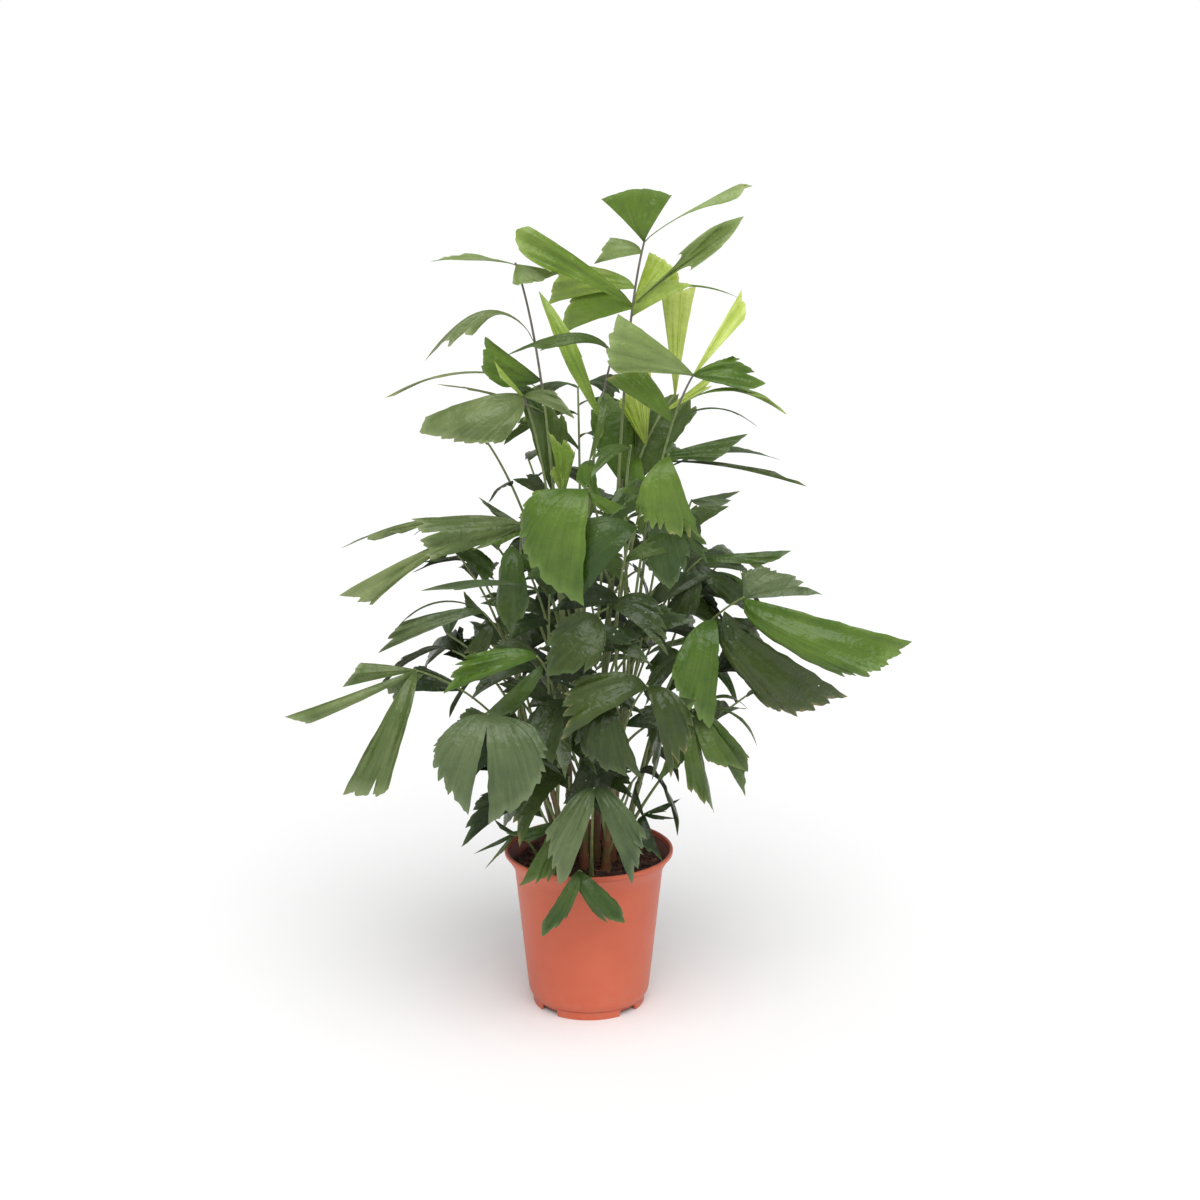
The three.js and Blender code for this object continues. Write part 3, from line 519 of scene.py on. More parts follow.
LEAF_ROOM = 4
POT_ROOM = 2
CELL_SIZE = 12
LEAF_TURNS = (0, 8, -8, 16, -16, 24, -24)
INNER_SHARES = (0.36, 0.54, 0.74)
INNER_CEILING = 850
# Painted shade: leaflets inside the crown take darker tones low down, where shade falls.
SHADE_DEPTH_TONES = ((0, "dark"), (650, "mid"), (780, "bright"))


def fan(share, reach, spread, short=0.7, peak=0.0, tone=None, **shape):
    """A broad leaflet that shows its face. reach is right, back and up, spread the blade's angle,
    short the far margin's length beside the tip's, and peak the tip's place across the blade. In
    shape, a high tail draws the tip out thin, full swells the far margin, oval rounds off the far
    corners, teeth scales the jags, arch lifts the blade's middle, a high waist keeps the blade slim
    near its root, and look turns its face."""
    return {"share": share, "reach": Vector(reach), "spread": spread, "short": short, "peak": peak,
            "tone": tone, "arch": FAN_ARCH, "flat": False, "tail": TAIL_POWER, "oval": 0.05,
            "full": 0.45, "teeth": 1.0, "waist": None, **shape}


def strap(share, reach, spread, short=0.75, peak=0.0, tone=None, **shape):
    """A narrow leaflet that shows its edge and arches over."""
    own = {"arch": STRAP_ARCH, "flat": True, "oval": 0.15, "teeth": 0.6, "waist": STRAP_WAIST}
    return fan(share, reach, spread, short, peak, tone, **{**own, **shape})


def frond(name, cane, height, tip, look, tone, *leaflets):
    return {"name": name, "cane": cane, "height": height, "tip": Vector(tip), "look": Vector(look),
            "tone": tone, "leaflets": leaflets}


def sucker(name, foot, tip, look, tone, *leaflets):
    """A young frond that comes straight out of the soil."""
    return {"name": name, "soil": foot, "tip": Vector(tip), "look": Vector(look), "tone": tone,
            "leaflets": leaflets}


FRONT_FRONDS = [
    frond("frond_crown", 0, 700, (75, -15, 1085), (0, -1, 0.35), "bright",
          fan(1, (-58, -25, 57), -76, 0.86, oval=0.04, teeth=0.12, waist=1.9),
          strap(1, (145, 40, 73), -26, 0.9, 0.4, tone="light", oval=0.25, waist=2.3, arch=0.05),
          fan(0.67, (146, -15, 119), -17, 0.8, 0.5, tone="light", oval=0.4, teeth=0.3, waist=2.8),
          fan(0.93, (-62, -10, -16), -36, 0.75, tone="light", teeth=0.4, waist=0.5),
          fan(0.67, (-150, -30, 111), 15, 0.94, 0.3, tone="clear", oval=0.3, teeth=0.3),
          fan(0.74, (-124, 50, -26), -26, 0.84, tone="fresh", teeth=0.4, waist=0.6),
          fan(0.66, (-98, 40, -40), -54, 0.72, tone="fresh", teeth=0.4),
          fan(0.66, (20, 35, 74), -44, 0.95, tone="young", teeth=0.3),
          fan(0.63, (82, -20, 42), 40, 0.6, tone="fresh", teeth=0.3), strap(0.63, (140, -10, 30), 4)),
    frond("frond_left_high", 1, 560, (-96, -20, 1056), (0, -1, 0.35), "mid",
          strap(1, (-112, -15, 6), -36, 0.7, tone="light", arch=0.04, waist=1.6),
          fan(1, (54, -20, -8), -84, 0.6, tone="light", teeth=0.3, oval=0.1),
          strap(0.68, (-146, -50, -14), 25, tone="pale", arch=0.32, waist=1.5),
          fan(0.565, (-72, -50, 60), 38, 0.95, tone="bright", oval=0.3, teeth=0.3),
          fan(0.45, (-60, 20, 55), -25, 0.6), strap(0.53, (-215, 20, -14), 8, tone="pale", arch=0.14),
          strap(0.47, (-149, 10, 36), 9, tone="pale", arch=0.06)),
    frond("frond_right_high", 2, 540, (140, -60, 914), (0.1, -1, 0.35), "bright",
          fan(1, (-96, -47, 93), 35, 0.92, tone="light", teeth=0.4, waist=1.1, oval=0.15, full=1),
          fan(1, (96, 0, -14), 44, 0.66, 0.27, waist=0.8, full=1),
          fan(1, (70, 50, 106), -13, 0.85, tone="young", teeth=0.5),
          strap(0.78, (150, 10, -6), -26, 0.8, 0.4, tone="fresh", oval=0.25, waist=2, arch=0.2),
          fan(0.72, (-94, -20, 54), -34, 0.85, tone="bright", teeth=0.5),
          fan(0.58, (112, 10, 34), -22, 0.6, tone="mid", teeth=0.5),
          strap(0.55, (196, 10, -36), 8, tone="dark", arch=0.05),
          strap(0.5, (170, 60, 12), 12, tone="grey", waist=1.6, arch=0.1),
          strap(0.72, (116, 50, -12), 8, tone="grey", arch=0.16)),
    frond("frond_middle_high", 3, 520, (33, -45, 938), (0, -1, 0.3), "mid",
          fan(0.7, (-84, 20, 165), 14, 0.7, 0.5, tone="fresh", teeth=0.3, oval=0.35, waist=0.8),
          strap(1, (-140, -45, 8), 20, tone="mid", arch=0.3, waist=0.7, look=(0, -1, 0.9)),
          fan(0.78, (-18, -30, -85), 14, 0.6)),
    frond("frond_left_grey", 1, 470, (-85, -75, 888), (-0.2, -1, 0.55), "grey",
          fan(1, (-140, -15, -48), 58, 0.55, 0.12, tone="pale", oval=0.04, teeth=0.5, arch=0.12),
          fan(1, (66, -20, -28), 30, 0.6, tone="pale", teeth=0.3),
          fan(1, (-36, -30, 50), 10, 0.8, tone="fresh", teeth=0.3)),
    frond("shoot_yellow_right", 0, 620, (120, 45, 872), (0, -1, 0.1), "young",
          fan(1, (22, 15, 150), 19, 0.95, oval=0, teeth=0.4),
          fan(0.62, (12, 0, 125), 19, 0.9, oval=0, teeth=0.4),
          fan(0.62, (-20, -12, 84), 19, 0.9), fan(0.85, (75, 10, 62), -12, 0.8)),
    frond("shoot_yellow_left", 3, 465, (-34, -25, 745), (0, -1, 0.1), "young",
          fan(1, (-20, -25, 96), -27, 0.8, tone="fresh"), fan(1, (5, -24, 64), 26, tone="fresh")),
    frond("frond_inner_left", 4, 520, (-50, 18, 742), (-0.1, -1, 0.1), "dark",
          fan(1, (-48, 0, 136), -38, 0.85, tone="mid", oval=0.3), fan(0.9, (-62, 30, 20), -30)),
    frond("frond_inner_right", 0, 520, (60, 32, 750), (0.1, -1, 0.2), "dark",
          fan(1, (88, 30, 124), 33, 0.85, 0.3, tone="mid", oval=0.3, waist=0.6),
          fan(0.9, (-38, 14, 146), 46, 0.8, 0.5, tone="bright", oval=0.45), fan(0.96, (20, 40, 110), 26)),
    frond("fan_front", 3, 440, (0, -190, 786), (0, -1, 0.2), "bright",
          fan(1, (-8, -25, -148), -86, 0.52, tail=0.9, full=1.1), fan(0.97, (50, 25, -25), -30)),
    frond("fan_right", 7, 440, (104, -165, 825), (0, -1, 0.25), "bright",
          fan(1, (45, 0, -108), -56, 0.78, tail=0.9)),
    frond("fan_front_right", 7, 400, (63, -190, 737), (0, -1, 0.2), "bright",
          fan(1, (-68, -20, -104), -62, 0.62, tone="mid", tail=0.8, full=1, teeth=1.3)),
    frond("fan_right_low", 7, 360, (98, -125, 732), (0, -1, 0.2), "mid",
          fan(1, (6, -5, -92), 75, 0.65, 0.45, full=1), fan(0.97, (62, 10, -55), 30)),
    frond("frond_left_long", 5, 400, (-90, -45, 712), (0, -1, 0.6), "grey",
          fan(1, (-146, -25, 14), 26, 0.94, tone="pale", oval=0.02),
          strap(1, (-250, 40, -56), 11, tone="pale", arch=0.1),
          fan(0.99, (-252, 0, -84), 8, 0.9, tone="pale", waist=1.9, teeth=0.8),
          fan(0.93, (-65, -40, -18), 16, 0.6, tone="mid"), fan(0.97, (-60, 20, 35), 20, 0.6)),
    frond("frond_left_mid", 5, 350, (-195, -15, 678), (0, -1, 0.4), "mid",
          fan(1, (-24, -10, -24), 40, 0.8), fan(0.95, (58, -15, -52), 30, 0.85),
          fan(0.9, (30, 30, 40), 30)),
    frond("frond_left_bright", 1, 380, (-100, -120, 695), (0, -1, 0.2), "bright",
          fan(1, (-7, -12, -118), 40, 0.6, 0.5, tone="mid", tail=0.8),
          fan(0.92, (48, 10, -70), 34, tone="mid")),
    frond("frond_left_thin", 8, 360, (-50, -150, 636), (0, -1, 0.5), "mid",
          strap(1, (-167, -15, 16), 15, tone="grey", arch=0.1)),
    frond("frond_left_striped", 5, 310, (-145, -35, 585), (0, -1, 0.5), "grey",
          fan(1, (-142, -20, -56), -13, 0.8), strap(1, (-126, 25, -30), 4, arch=0.2),
          fan(0.9, (-40, 10, -45), 40, 0.8, tone="dark"), fan(0.92, (-35, 25, 35), 34, tone="dark")),
    frond("frond_left_low", 5, 275, (-233, -110, 523), (0, -1, 0.3), "fresh",
          fan(1, (-98, -15, -18), -22, 0.8, tone="pale", teeth=0.4, waist=1),
          fan(1, (-172, -30, -64), 8, 0.9, tone="pale", waist=0.9, teeth=0.5),
          fan(1, (-110, -40, -156), 19, 0.9, tone="pale", teeth=0.7, waist=0.9),
          fan(0.95, (-42, 30, -55), -30, 0.85, tone="mid")),
    frond("frond_left_leaf", 8, 310, (-66, -190, 564), (0, -1, 0.3), "bright",
          fan(1, (-121, -25, -44), -24, 0.8), fan(0.9, (-80, 25, -75), 22, tone="mid")),
    frond("fan_left_low", 8, 260, (-129, -215, 493), (0, -1, 0.2), "grey",
          fan(1, (-20, -30, -128), -58, 0.5, tail=0.8, full=0.8),
          fan(1, (0, -30, -140), 76, 0.5, tail=0.7, full=0.8)),
    frond("fan_mid", 3, 360, (16, -195, 616), (0, -1, 0.3), "dark",
          fan(1, (-79, -20, -73), 90, 0.55, 0.5, tail=1.2, full=0.7, teeth=1.4),
          fan(0.93, (60, 20, -20), -34)),
    frond("pair_centre", 7, 290, (78, -200, 526), (0, -1, 0.3), "dark",
          fan(1, (-115, -25, -60), -38, 0.85, full=1), fan(1, (29, -25, -118), 46, 0.62, full=1),
          fan(0.93, (70, 20, -20), -30)),
    frond("fan_centre", 3, 290, (33, -182, 503), (0, -1, 0.2), "mid",
          fan(1, (42, -14, -102), -66, 0.72, tone="dark", full=0.8)),
    frond("fan_low_dark", 7, 250, (0, -100, 412), (0, -1, 0.3), "dark",
          fan(1, (-36, -12, -78), 38, 0.8), fan(0.95, (62, -10, -60), -34)),
    frond("frond_right_big", 6, 320, (206, -130, 628), (0, -1, 0.3), "bright",
          fan(1, (220, -40, -52), -27, tail=0.5, waist=0.55), fan(1, (106, 20, 0), 92, 0.4, tone="grey"),
          fan(0.8, (190, 40, -112), -34, 0.6, tone="dark", tail=0.8),
          fan(0.79, (3, -25, -148), -46, 0.58, 0.06, tail=1),
          fan(0.86, (70, 50, -70), -40, tone="dark")),
    frond("frond_right_mid", 2, 400, (155, -35, 660), (0, -1, 0.4), "mid",
          fan(1, (122, 0, 15), -12, 0.85), strap(0.97, (42, -10, -5), 14),
          fan(0.9, (-45, -20, -75), 38, 0.8, tone="dark"), fan(0.94, (90, 30, -45), -30, tone="dark")),
    frond("frond_right_upper", 6, 390, (142, 5, 733), (0, -1, 0.4), "dark",
          fan(1, (68, 10, 12), -34, 0.6, tone="grey"), fan(0.92, (-10, -20, -60), 36),
          fan(0.9, (-20, 10, 60), 30)),
    frond("frond_right_low", 6, 265, (150, -80, 462), (0, -1, 0.3), "mid",
          fan(1, (68, -25, -78), -28, 0.75), fan(0.92, (36, -20, -140), -18, 0.75),
          fan(0.96, (68, 10, -130), 20), strap(1, (84, 25, -66), 9), strap(1, (72, 40, -12), 16),
          fan(0.8, (-30, -30, -80), 34)),
    sucker("pair_bottom", (4, -62), (8, -165, 375), (0, -1, 0.2), "grey",
           fan(1, (-40, -20, -134), -34, 0.62, 0.12), fan(1, (52, -20, -129), 30)),
    sucker("frond_lip", (-6, -80), (-14, -138, 246), (0, -1, 0.3), "mid",
           fan(1, (-46, -15, -92), 24, 0.7, 0.3), fan(1, (68, -15, -66), -32, 0.8, 0.3)),
    sucker("sucker_low_left", (-38, -62), (-44, -132, 318), (0, -1, 0.2), "mid",
           fan(1, (-52, -25, -83), 30, 0.8), fan(0.95, (-70, 10, -20), 24)),
    sucker("sucker_left", (-68, -20), (-104, -60, 272), (0, -1, 0.6), "grey",
           fan(1, (-56, -10, -27), 11, 0.6), fan(1, (-37, -30, -42), 12, 0.6),
           fan(0.9, (-35, 30, 12), 14)),
    sucker("sucker_right", (66, -18), (78, -50, 298), (0, -1, 0.5), "dark",
           fan(1, (50, 10, 22), -18, 0.6), fan(1, (45, -10, -4), -16, 0.6),
           fan(0.95, (26, -32, -56), -35), fan(0.9, (-10, 20, 40), 20)),
]


# The fronds of the far side wind up round the clump by the golden angle, drawn by the same lot
# every time. Smaller leaflets fill the inside of the crown by the same kinds of draw, and a few
# have been shed.
BACK_COUNT = 14
BACK_FIRST_HEIGHT = 260
BACK_HEIGHT_STEP = 22
BACK_FIRST_BEARING = 20
BACK_ARC = 180
BACK_SWINGS = (0, 20, -20, 40, -40, 60, -60, 90, -90, 120, -120)
BACK_REACH = (250, 120)
BACK_STALK = (190, 360)
BACK_SWAY = 0.4
BACK_PAIRS = (0.68, 0.87)
BACK_PAIR_STEP = 0.06
BACK_TONES = ("mid", "dark", "bright", "mid", "grey")
GOLDEN_SHARE = 0.618034
SHED = {
    "frond_back_1": (0,), "frond_back_4": (0, 1), "frond_back_7": (1, 3), "frond_back_9": (0, 2),
    "frond_back_10": (1, 4), "frond_back_11": (0, 3), "frond_back_12": (0, 1, 4),
    "frond_back_14": (0, 1, 3, 4, 5), "frond_left_grey": (3,), "frond_left_high": (7,),
}
END_LEAF = {"bearing": (0.35, 0.6), "length": (90, 130), "rise": (-70, -10), "spread": (34, 46)}
SIDE_LEAF = {"bearing": (0.9, 1.5), "length": (80, 130), "rise": (-60, 50), "spread": (24, 40)}
INNER_LEAF = {"bearing": (0.9, 1.9), "length": (70, 110), "rise": (-50, 40), "spread": (28, 40)}
FIRST_SEED = 1207
SEED_STEP = 7919
SEED_FACTOR = 16807
SEED_LIMIT = 2147483647
lot = {}


def draw_anew(number):
    """Starts the lot's draws for the frond of this number."""
    lot["seed"] = FIRST_SEED + number * SEED_STEP


def between(bounds):
    lot["seed"] = lot["seed"] * SEED_FACTOR % SEED_LIMIT
    return bounds[0] + (bounds[1] - bounds[0]) * lot["seed"] / SEED_LIMIT


def draw_leaf(kind, share, bearing, side, tone=None):
    turn = bearing + side * between(kind["bearing"])
    length = between(kind["length"])
    reach = from_bearing(turn, length, between(kind["rise"]))
    return fan(share, reach, side * between(kind["spread"]), tone=tone)


def draw_pairs(end_kind, side_kind, shares, stagger, bearing):
    """A pair of leaflets at a stalk's end, and a staggered pair at each share along it."""
    leaflets = [draw_leaf(end_kind, 1, bearing, side) for side in (-1, 1)]
    for share in shares:
        leaflets.append(draw_leaf(side_kind, share, bearing, -1))
        leaflets.append(draw_leaf(side_kind, share - stagger, bearing, 1))
    return leaflets


def shaded_tone_at(height):
    """Painted shade: leaflets inside the crown are dark low down and lighter towards the top."""
    return [tone for start, tone in SHADE_DEPTH_TONES if height >= start][-1]


def nearest_cane(bearing, height):
    """The cane whose top lies nearest to a bearing and still stands above a height."""
    tops = {n: cane["top"] for n, cane in enumerate(CANES) if cane["top"][2] > height + CANE_TOP_MARGIN}
    return min(tops, key=lambda n: 1 - math.cos(math.atan2(tops[n][1], tops[n][0]) - bearing))


def back_frond(index, swing):
    draw_anew(index)
    level = index / (BACK_COUNT - 1)
    height = BACK_FIRST_HEIGHT + BACK_HEIGHT_STEP * index
    bearing = math.radians(BACK_FIRST_BEARING + BACK_ARC * (index * GOLDEN_SHARE % 1) + swing)
    cane = nearest_cane(bearing, height)
    outward = BACK_REACH[0] + (BACK_REACH[1] - BACK_REACH[0]) * level
    rise = BACK_STALK[0] + (BACK_STALK[1] - BACK_STALK[0]) * level
    tip = from_bearing(bearing, outward, height + rise)
    tip.x += cane_centre(CANES[cane], height).x * BACK_SWAY
    return frond(f"frond_back_{index + 1}", cane, height, tip, from_bearing(bearing, 0.5, 1),
                 BACK_TONES[index % len(BACK_TONES)],
                 *draw_pairs(END_LEAF, SIDE_LEAF, BACK_PAIRS, BACK_PAIR_STEP, bearing))


# Short fronds grow from low to high in the clump and close the inside of its crown. They have the
# same thin stalks and leathery blades as the others, and only those that find room grow.
INNER_TRIES = 64
INNER_FIRST_SEED = 100
INNER_HEIGHTS = (250, 620)
INNER_REACH = (30, 75)
INNER_SPREADING = 40
INNER_RISE = (50, 130)
INNER_END = {"bearing": (0.3, 0.8), "length": (75, 125), "rise": (-85, -15), "spread": (38, 56)}
INNER_SIDE = {"bearing": (0.8, 1.7), "length": (75, 125), "rise": (-70, 30), "spread": (34, 52)}
INNER_ROOM = 1.5
INNER_PAIRS = (0.6, 0.85)


def inner_frond(index):
    draw_anew(index + INNER_FIRST_SEED)
    level = index / (INNER_TRIES - 1)
    height = INNER_HEIGHTS[0] + (INNER_HEIGHTS[1] - INNER_HEIGHTS[0]) * level
    bearing = 2 * math.pi * (index * GOLDEN_SHARE % 1)
    cane = nearest_cane(bearing, height)
    outward = between(INNER_REACH) + INNER_SPREADING * math.sin(math.pi * level)
    tip = cane_centre(CANES[cane], height) + from_bearing(bearing, outward, between(INNER_RISE))
    return frond(f"inner_{index + 1}", cane, height, tip, from_bearing(bearing, 1, 0.5),
                 shaded_tone_at(tip.z), *draw_pairs(INNER_END, INNER_SIDE, INNER_PAIRS, 0, bearing))


filled = {}


def fill(samples, owner):
    """Marks places as taken. Each sample is a point with the room that it needs."""
    for point, room in samples:
        cell = tuple(math.floor(value / CELL_SIZE) for value in point)
        filled.setdefault(cell, []).append((*point, room, owner))


def is_clear(samples, owners):
    for (x, y, z), room in samples:
        i, j, k = math.floor(x / CELL_SIZE), math.floor(y / CELL_SIZE), math.floor(z / CELL_SIZE)
        for step in range(27):
            near = filled.get((i + step % 3 - 1, j + step // 3 % 3 - 1, k + step // 9 - 1))
            for ox, oy, oz, other_room, owner in near or ():
                away = (x - ox) ** 2 + (y - oy) ** 2 + (z - oz) ** 2
                if away < (room + other_room) ** 2 and owner not in owners:
                    return False
    return True


def stalk_curve(item, turn, shift):
    """The start, the bend and the tip of a stalk. turn swings its arch round the straight line."""
    if "soil" in item:
        start = Vector((item["soil"][0] + shift, item["soil"][1], SOIL_TOP - STALK_SINK))
    else:
        cane = CANES[item["cane"]]
        start = cane_centre(cane, min(item["height"] + shift, cane["top"][2] - STALK_SINK))
    chord = item["tip"] - start
    climb = max(STALK_RISE * chord.z, STALK_LEAST_RISE * chord.length)
    bend = Vector((STALK_REACH * chord.x, STALK_REACH * chord.y, climb))
    bend.rotate(Quaternion(chord.normalized(), math.radians(turn)))
    return start, start + bend, item["tip"]


def along_curve(curve, share):
    start, bend, tip = curve
    return start * (1 - share) ** 2 + bend * 2 * share * (1 - share) + tip * share ** 2


def stalk_radius(share):
    return STALK_FOOT_RADIUS + (STALK_TIP_RADIUS - STALK_FOOT_RADIUS) * share


def stalk_point(curve, share):
    """A place on the line that runs straight from one coarse step of the stalk to the next."""
    step = min(int(share * STALK_STEPS), STALK_STEPS - 1)
    low, high = along_curve(curve, step / STALK_STEPS), along_curve(curve, (step + 1) / STALK_STEPS)
    return low.lerp(high, share * STALK_STEPS - step)


def stalk_samples(curve):
    stops = [along_curve(curve, step / FINE_STEPS) for step in range(FINE_STEPS + 1)]
    length = sum((after - before).length for before, after in zip(stops, stops[1:]))
    count = math.ceil(length / SAMPLE_STEP)
    shares = [(step + 1) / count for step in range(count)]
    return [(stalk_point(curve, share), stalk_radius(share) + STALK_ROOM) for share in shares]


def leaf_frame(item, leaflet, root, turn):
    """A leaflet's own axes: out to its tip, across its face and off its face."""
    look = Vector(leaflet.get("look") or (STRAP_LOOK if leaflet["flat"] else item["look"]))
    reach = leaflet["reach"].copy()
    reach.rotate(Quaternion((0, 0, 1), math.radians(turn) / (2 if leaflet["flat"] else 1)))
    out = reach.normalized()
    face = (look - out * look.dot(out)).normalized()
    return {**leaflet, "root": root, "out": out, "face": face, "across": face.cross(out),
            "length": reach.length, "tone": leaflet["tone"] or item["tone"]}


def from_peak(leaf, part):
    """How far a vein lies from the tip's, as a share of the blade's wider side."""
    return np.abs(part - leaf["peak"]) / max(leaf["peak"], 1 - leaf["peak"])


def leaf_lengths(leaf, part, tail=TAIL_POWER, full=0):
    """How long the blade is along rays at part 0 to 1 of its spread, with a tail at its peak."""
    tailed = leaf["short"] + (1 - leaf["short"]) * (1 - from_peak(leaf, part)) ** tail
    half_spread = math.radians(abs(leaf["spread"]) / 2)
    straight = math.cos(half_spread) / np.cos((2 * part - 1) * half_spread)
    return leaf["length"] * tailed * straight ** (EDGE_STRAIGHTNESS * (1 - full))


def root_across(leaf, part, along):
    """The blade's narrow width at its root, which runs out towards its far margin."""
    return (part - 0.5) * LEAF_ROOT_WIDTH * math.copysign(1, leaf["spread"]) * (1 - along)


def set_out(leaf, outward, aside, lift):
    """Places in millimetres from distances along a leaflet's own axes."""
    places = np.array(leaf["root"]) + outward[..., None] * np.array(leaf["out"])
    return places + aside[..., None] * np.array(leaf["across"]) + lift[..., None] * np.array(leaf["face"])


def leaf_samples(leaf):
    width = leaf["length"] * math.radians(abs(leaf["spread"]))
    rows = math.ceil(leaf["length"] / SAMPLE_STEP)
    columns = max(1, math.ceil(width / SAMPLE_STEP))
    along = np.arange(1, rows + 1)[:, None] / rows
    part = np.arange(columns + 1)[None, :] / columns
    angle = (part - leaf["peak"]) * math.radians(leaf["spread"])
    length = leaf_lengths(leaf, part)
    outward = length * np.cos(angle) * along
    aside = length * np.sin(angle) * along ** SHOULDER_POWER + root_across(leaf, part, along)
    arch = 4 * leaf["arch"] * length * along * (1 - along)
    return [tuple(place) for place in set_out(leaf, outward, aside, arch).reshape(-1, 3)]


def place_stalk(item):
    """Finds the stalk a clear way out from its foot, or nothing."""
    own = ("soil" if "soil" in item else CANES[item["cane"]]["name"], item["name"])
    for shift in STALK_SHIFTS:
        for turn in STALK_TURNS:
            curve = stalk_curve(item, turn, shift)
            samples = stalk_samples(curve)
            if is_clear(samples, own):
                fill(samples, item["name"])
                return {**item, "curve": curve, "leaves": []}
    return None


def place_leaflets(placed, leaflets, room=LEAF_ROOM):
    """A leaflet turns a little to keep clear of other fronds, and is left out where it can't."""
    for leaflet in leaflets:
        root = stalk_point(placed["curve"], min(leaflet["share"], LAST_SHARE))
        for turn in LEAF_TURNS:
            leaf = leaf_frame(placed, leaflet, root, turn)
            samples = [(place, room) for place in leaf_samples(leaf)]
            if is_clear(samples, (placed["name"],)):
                fill(samples, placed["name"])
                placed["leaves"].append(leaf)
                break


for cane in CANES:
    fill([(cane_centre(cane, height), cane_radius(cane, height) + CANE_ROOM)
          for height in np.arange(SOIL_TOP, cane["top"][2] + 0.01, SAMPLE_STEP)], cane["name"])
for height in range(0, POT_HEIGHT + 1, SAMPLE_STEP):
    radius = LIP_RADIUS if height > NECK_HEIGHT else NECK_RADIUS
    bearings = np.arange(0, 2 * math.pi, SAMPLE_STEP / LIP_RADIUS)
    fill([(from_bearing(bearing, radius, height), POT_ROOM) for bearing in bearings], "pot")

front = [place_stalk(item) for item in FRONT_FRONDS]
for placed in front:
    place_leaflets(placed, placed["leaflets"])
back = []
for index in range(BACK_COUNT):
    for swing in BACK_SWINGS:
        placed = place_stalk(back_frond(index, swing))
        if placed:
            back.append(placed)
            break
for order, placed in enumerate(front):
    if "soil" not in placed:
        draw_anew(order + BACK_COUNT)
        chord = placed["tip"] - placed["curve"][0]
        heights = [stalk_point(placed["curve"], share).z for share in INNER_SHARES]
        place_leaflets(placed, [
            draw_leaf(INNER_LEAF, share, math.atan2(chord.y, chord.x), 1 if (step + order) % 2 else -1,
                      shaded_tone_at(height))
            for step, (share, height) in enumerate(zip(INNER_SHARES, heights)) if height < INNER_CEILING])
for placed in back:
    place_leaflets(placed, placed["leaflets"])
for placed in front + back:
    shed = SHED.get(placed["name"], ())
    placed["leaves"] = [leaf for number, leaf in enumerate(placed["leaves"]) if number not in shed]
inner = []
for index in range(INNER_TRIES):
    placed = place_stalk(inner_frond(index))
    if placed:
        inner.append(placed)
        place_leaflets(placed, placed["leaflets"], INNER_ROOM)


# Each leaflet is a thin leathery blade, narrow at its root and cut off slantwise along a jagged
# edge like a fish's tail. Veins fan out from the root and fold it into shallow pleats.
BLADE_THICKNESS = 0.5
BLADE_ROWS = 15
BLADE_COLUMN_WIDTH = 2.7
BLADE_COLUMNS = (6, 36)
BROAD_WIDTH = 60
PLEAT_DEPTH = {"young": 1.3, "grey": 0.5}
USUAL_PLEAT = 0.26
LOBE_WIDTH = (11, 30)
LOBE_DEPTH = (4, 19)
TOOTH_WIDTH = (4, 10)
TOOTH_DEPTH = (1, 5)
SIDE_JAG = 0.09
RAGGEDNESS = 0.8
SPLIT_WIDTH = 50
SPLIT_CHANCE = 0.3
SPLIT_DEPTH = (0.08, 0.2)
MOST_CUT = 0.5
PUCKER = 0.011
FLUTE = 0.011
SWAY = 0.03
FOLD = (-0.18, 0.4)
CURL = (-0.04, 0.05)
WAVES = (0.8, 2.2)
RIPPLE = (0.012, 0.034)
TWIST = (-20, 20)
HANG_ARCH = 0.13
HANG_DELAY = 0.5
RISE_NARROWING = 0.5
STRAP_NARROWING = 0.7
TONES = {
    "young": ((0.31, 0.43, 0.04), (0.52, 0.62, 0.15)),
    "bright": ((0.044, 0.102, 0.006), (0.123, 0.205, 0.023)),
    "clear": ((0.11, 0.195, 0.018), (0.25, 0.35, 0.06)),
    "fresh": ((0.15, 0.26, 0.025), (0.33, 0.44, 0.085)),
    "light": ((0.145, 0.21, 0.05), (0.26, 0.35, 0.115)),
    "pale": ((0.09, 0.135, 0.035), (0.23, 0.285, 0.11)),
    "mid": ((0.028, 0.066, 0.007), (0.09, 0.145, 0.024)),
    "grey": ((0.048, 0.082, 0.026), (0.135, 0.18, 0.072)),
    "dark": ((0.014, 0.03, 0.005), (0.054, 0.085, 0.014)),
}
UNDER_SHADE = (0.8, 0.014)
LEAF_GLOSS = 0.36
LEAF_RELIEF = 0.0014
LEAF_ROUGHNESS = 0.34
UNDER_ROUGHNESS = 0.6
MARK_STEP = 5
BAKE_MARGIN = 0.04
STRAW_COLOUR = (0.42, 0.3, 0.12, 1)
DROPLET_GLINT_COLOUR = (0.75, 0.8, 0.72, 1)
DROPLET_SCALE = 72


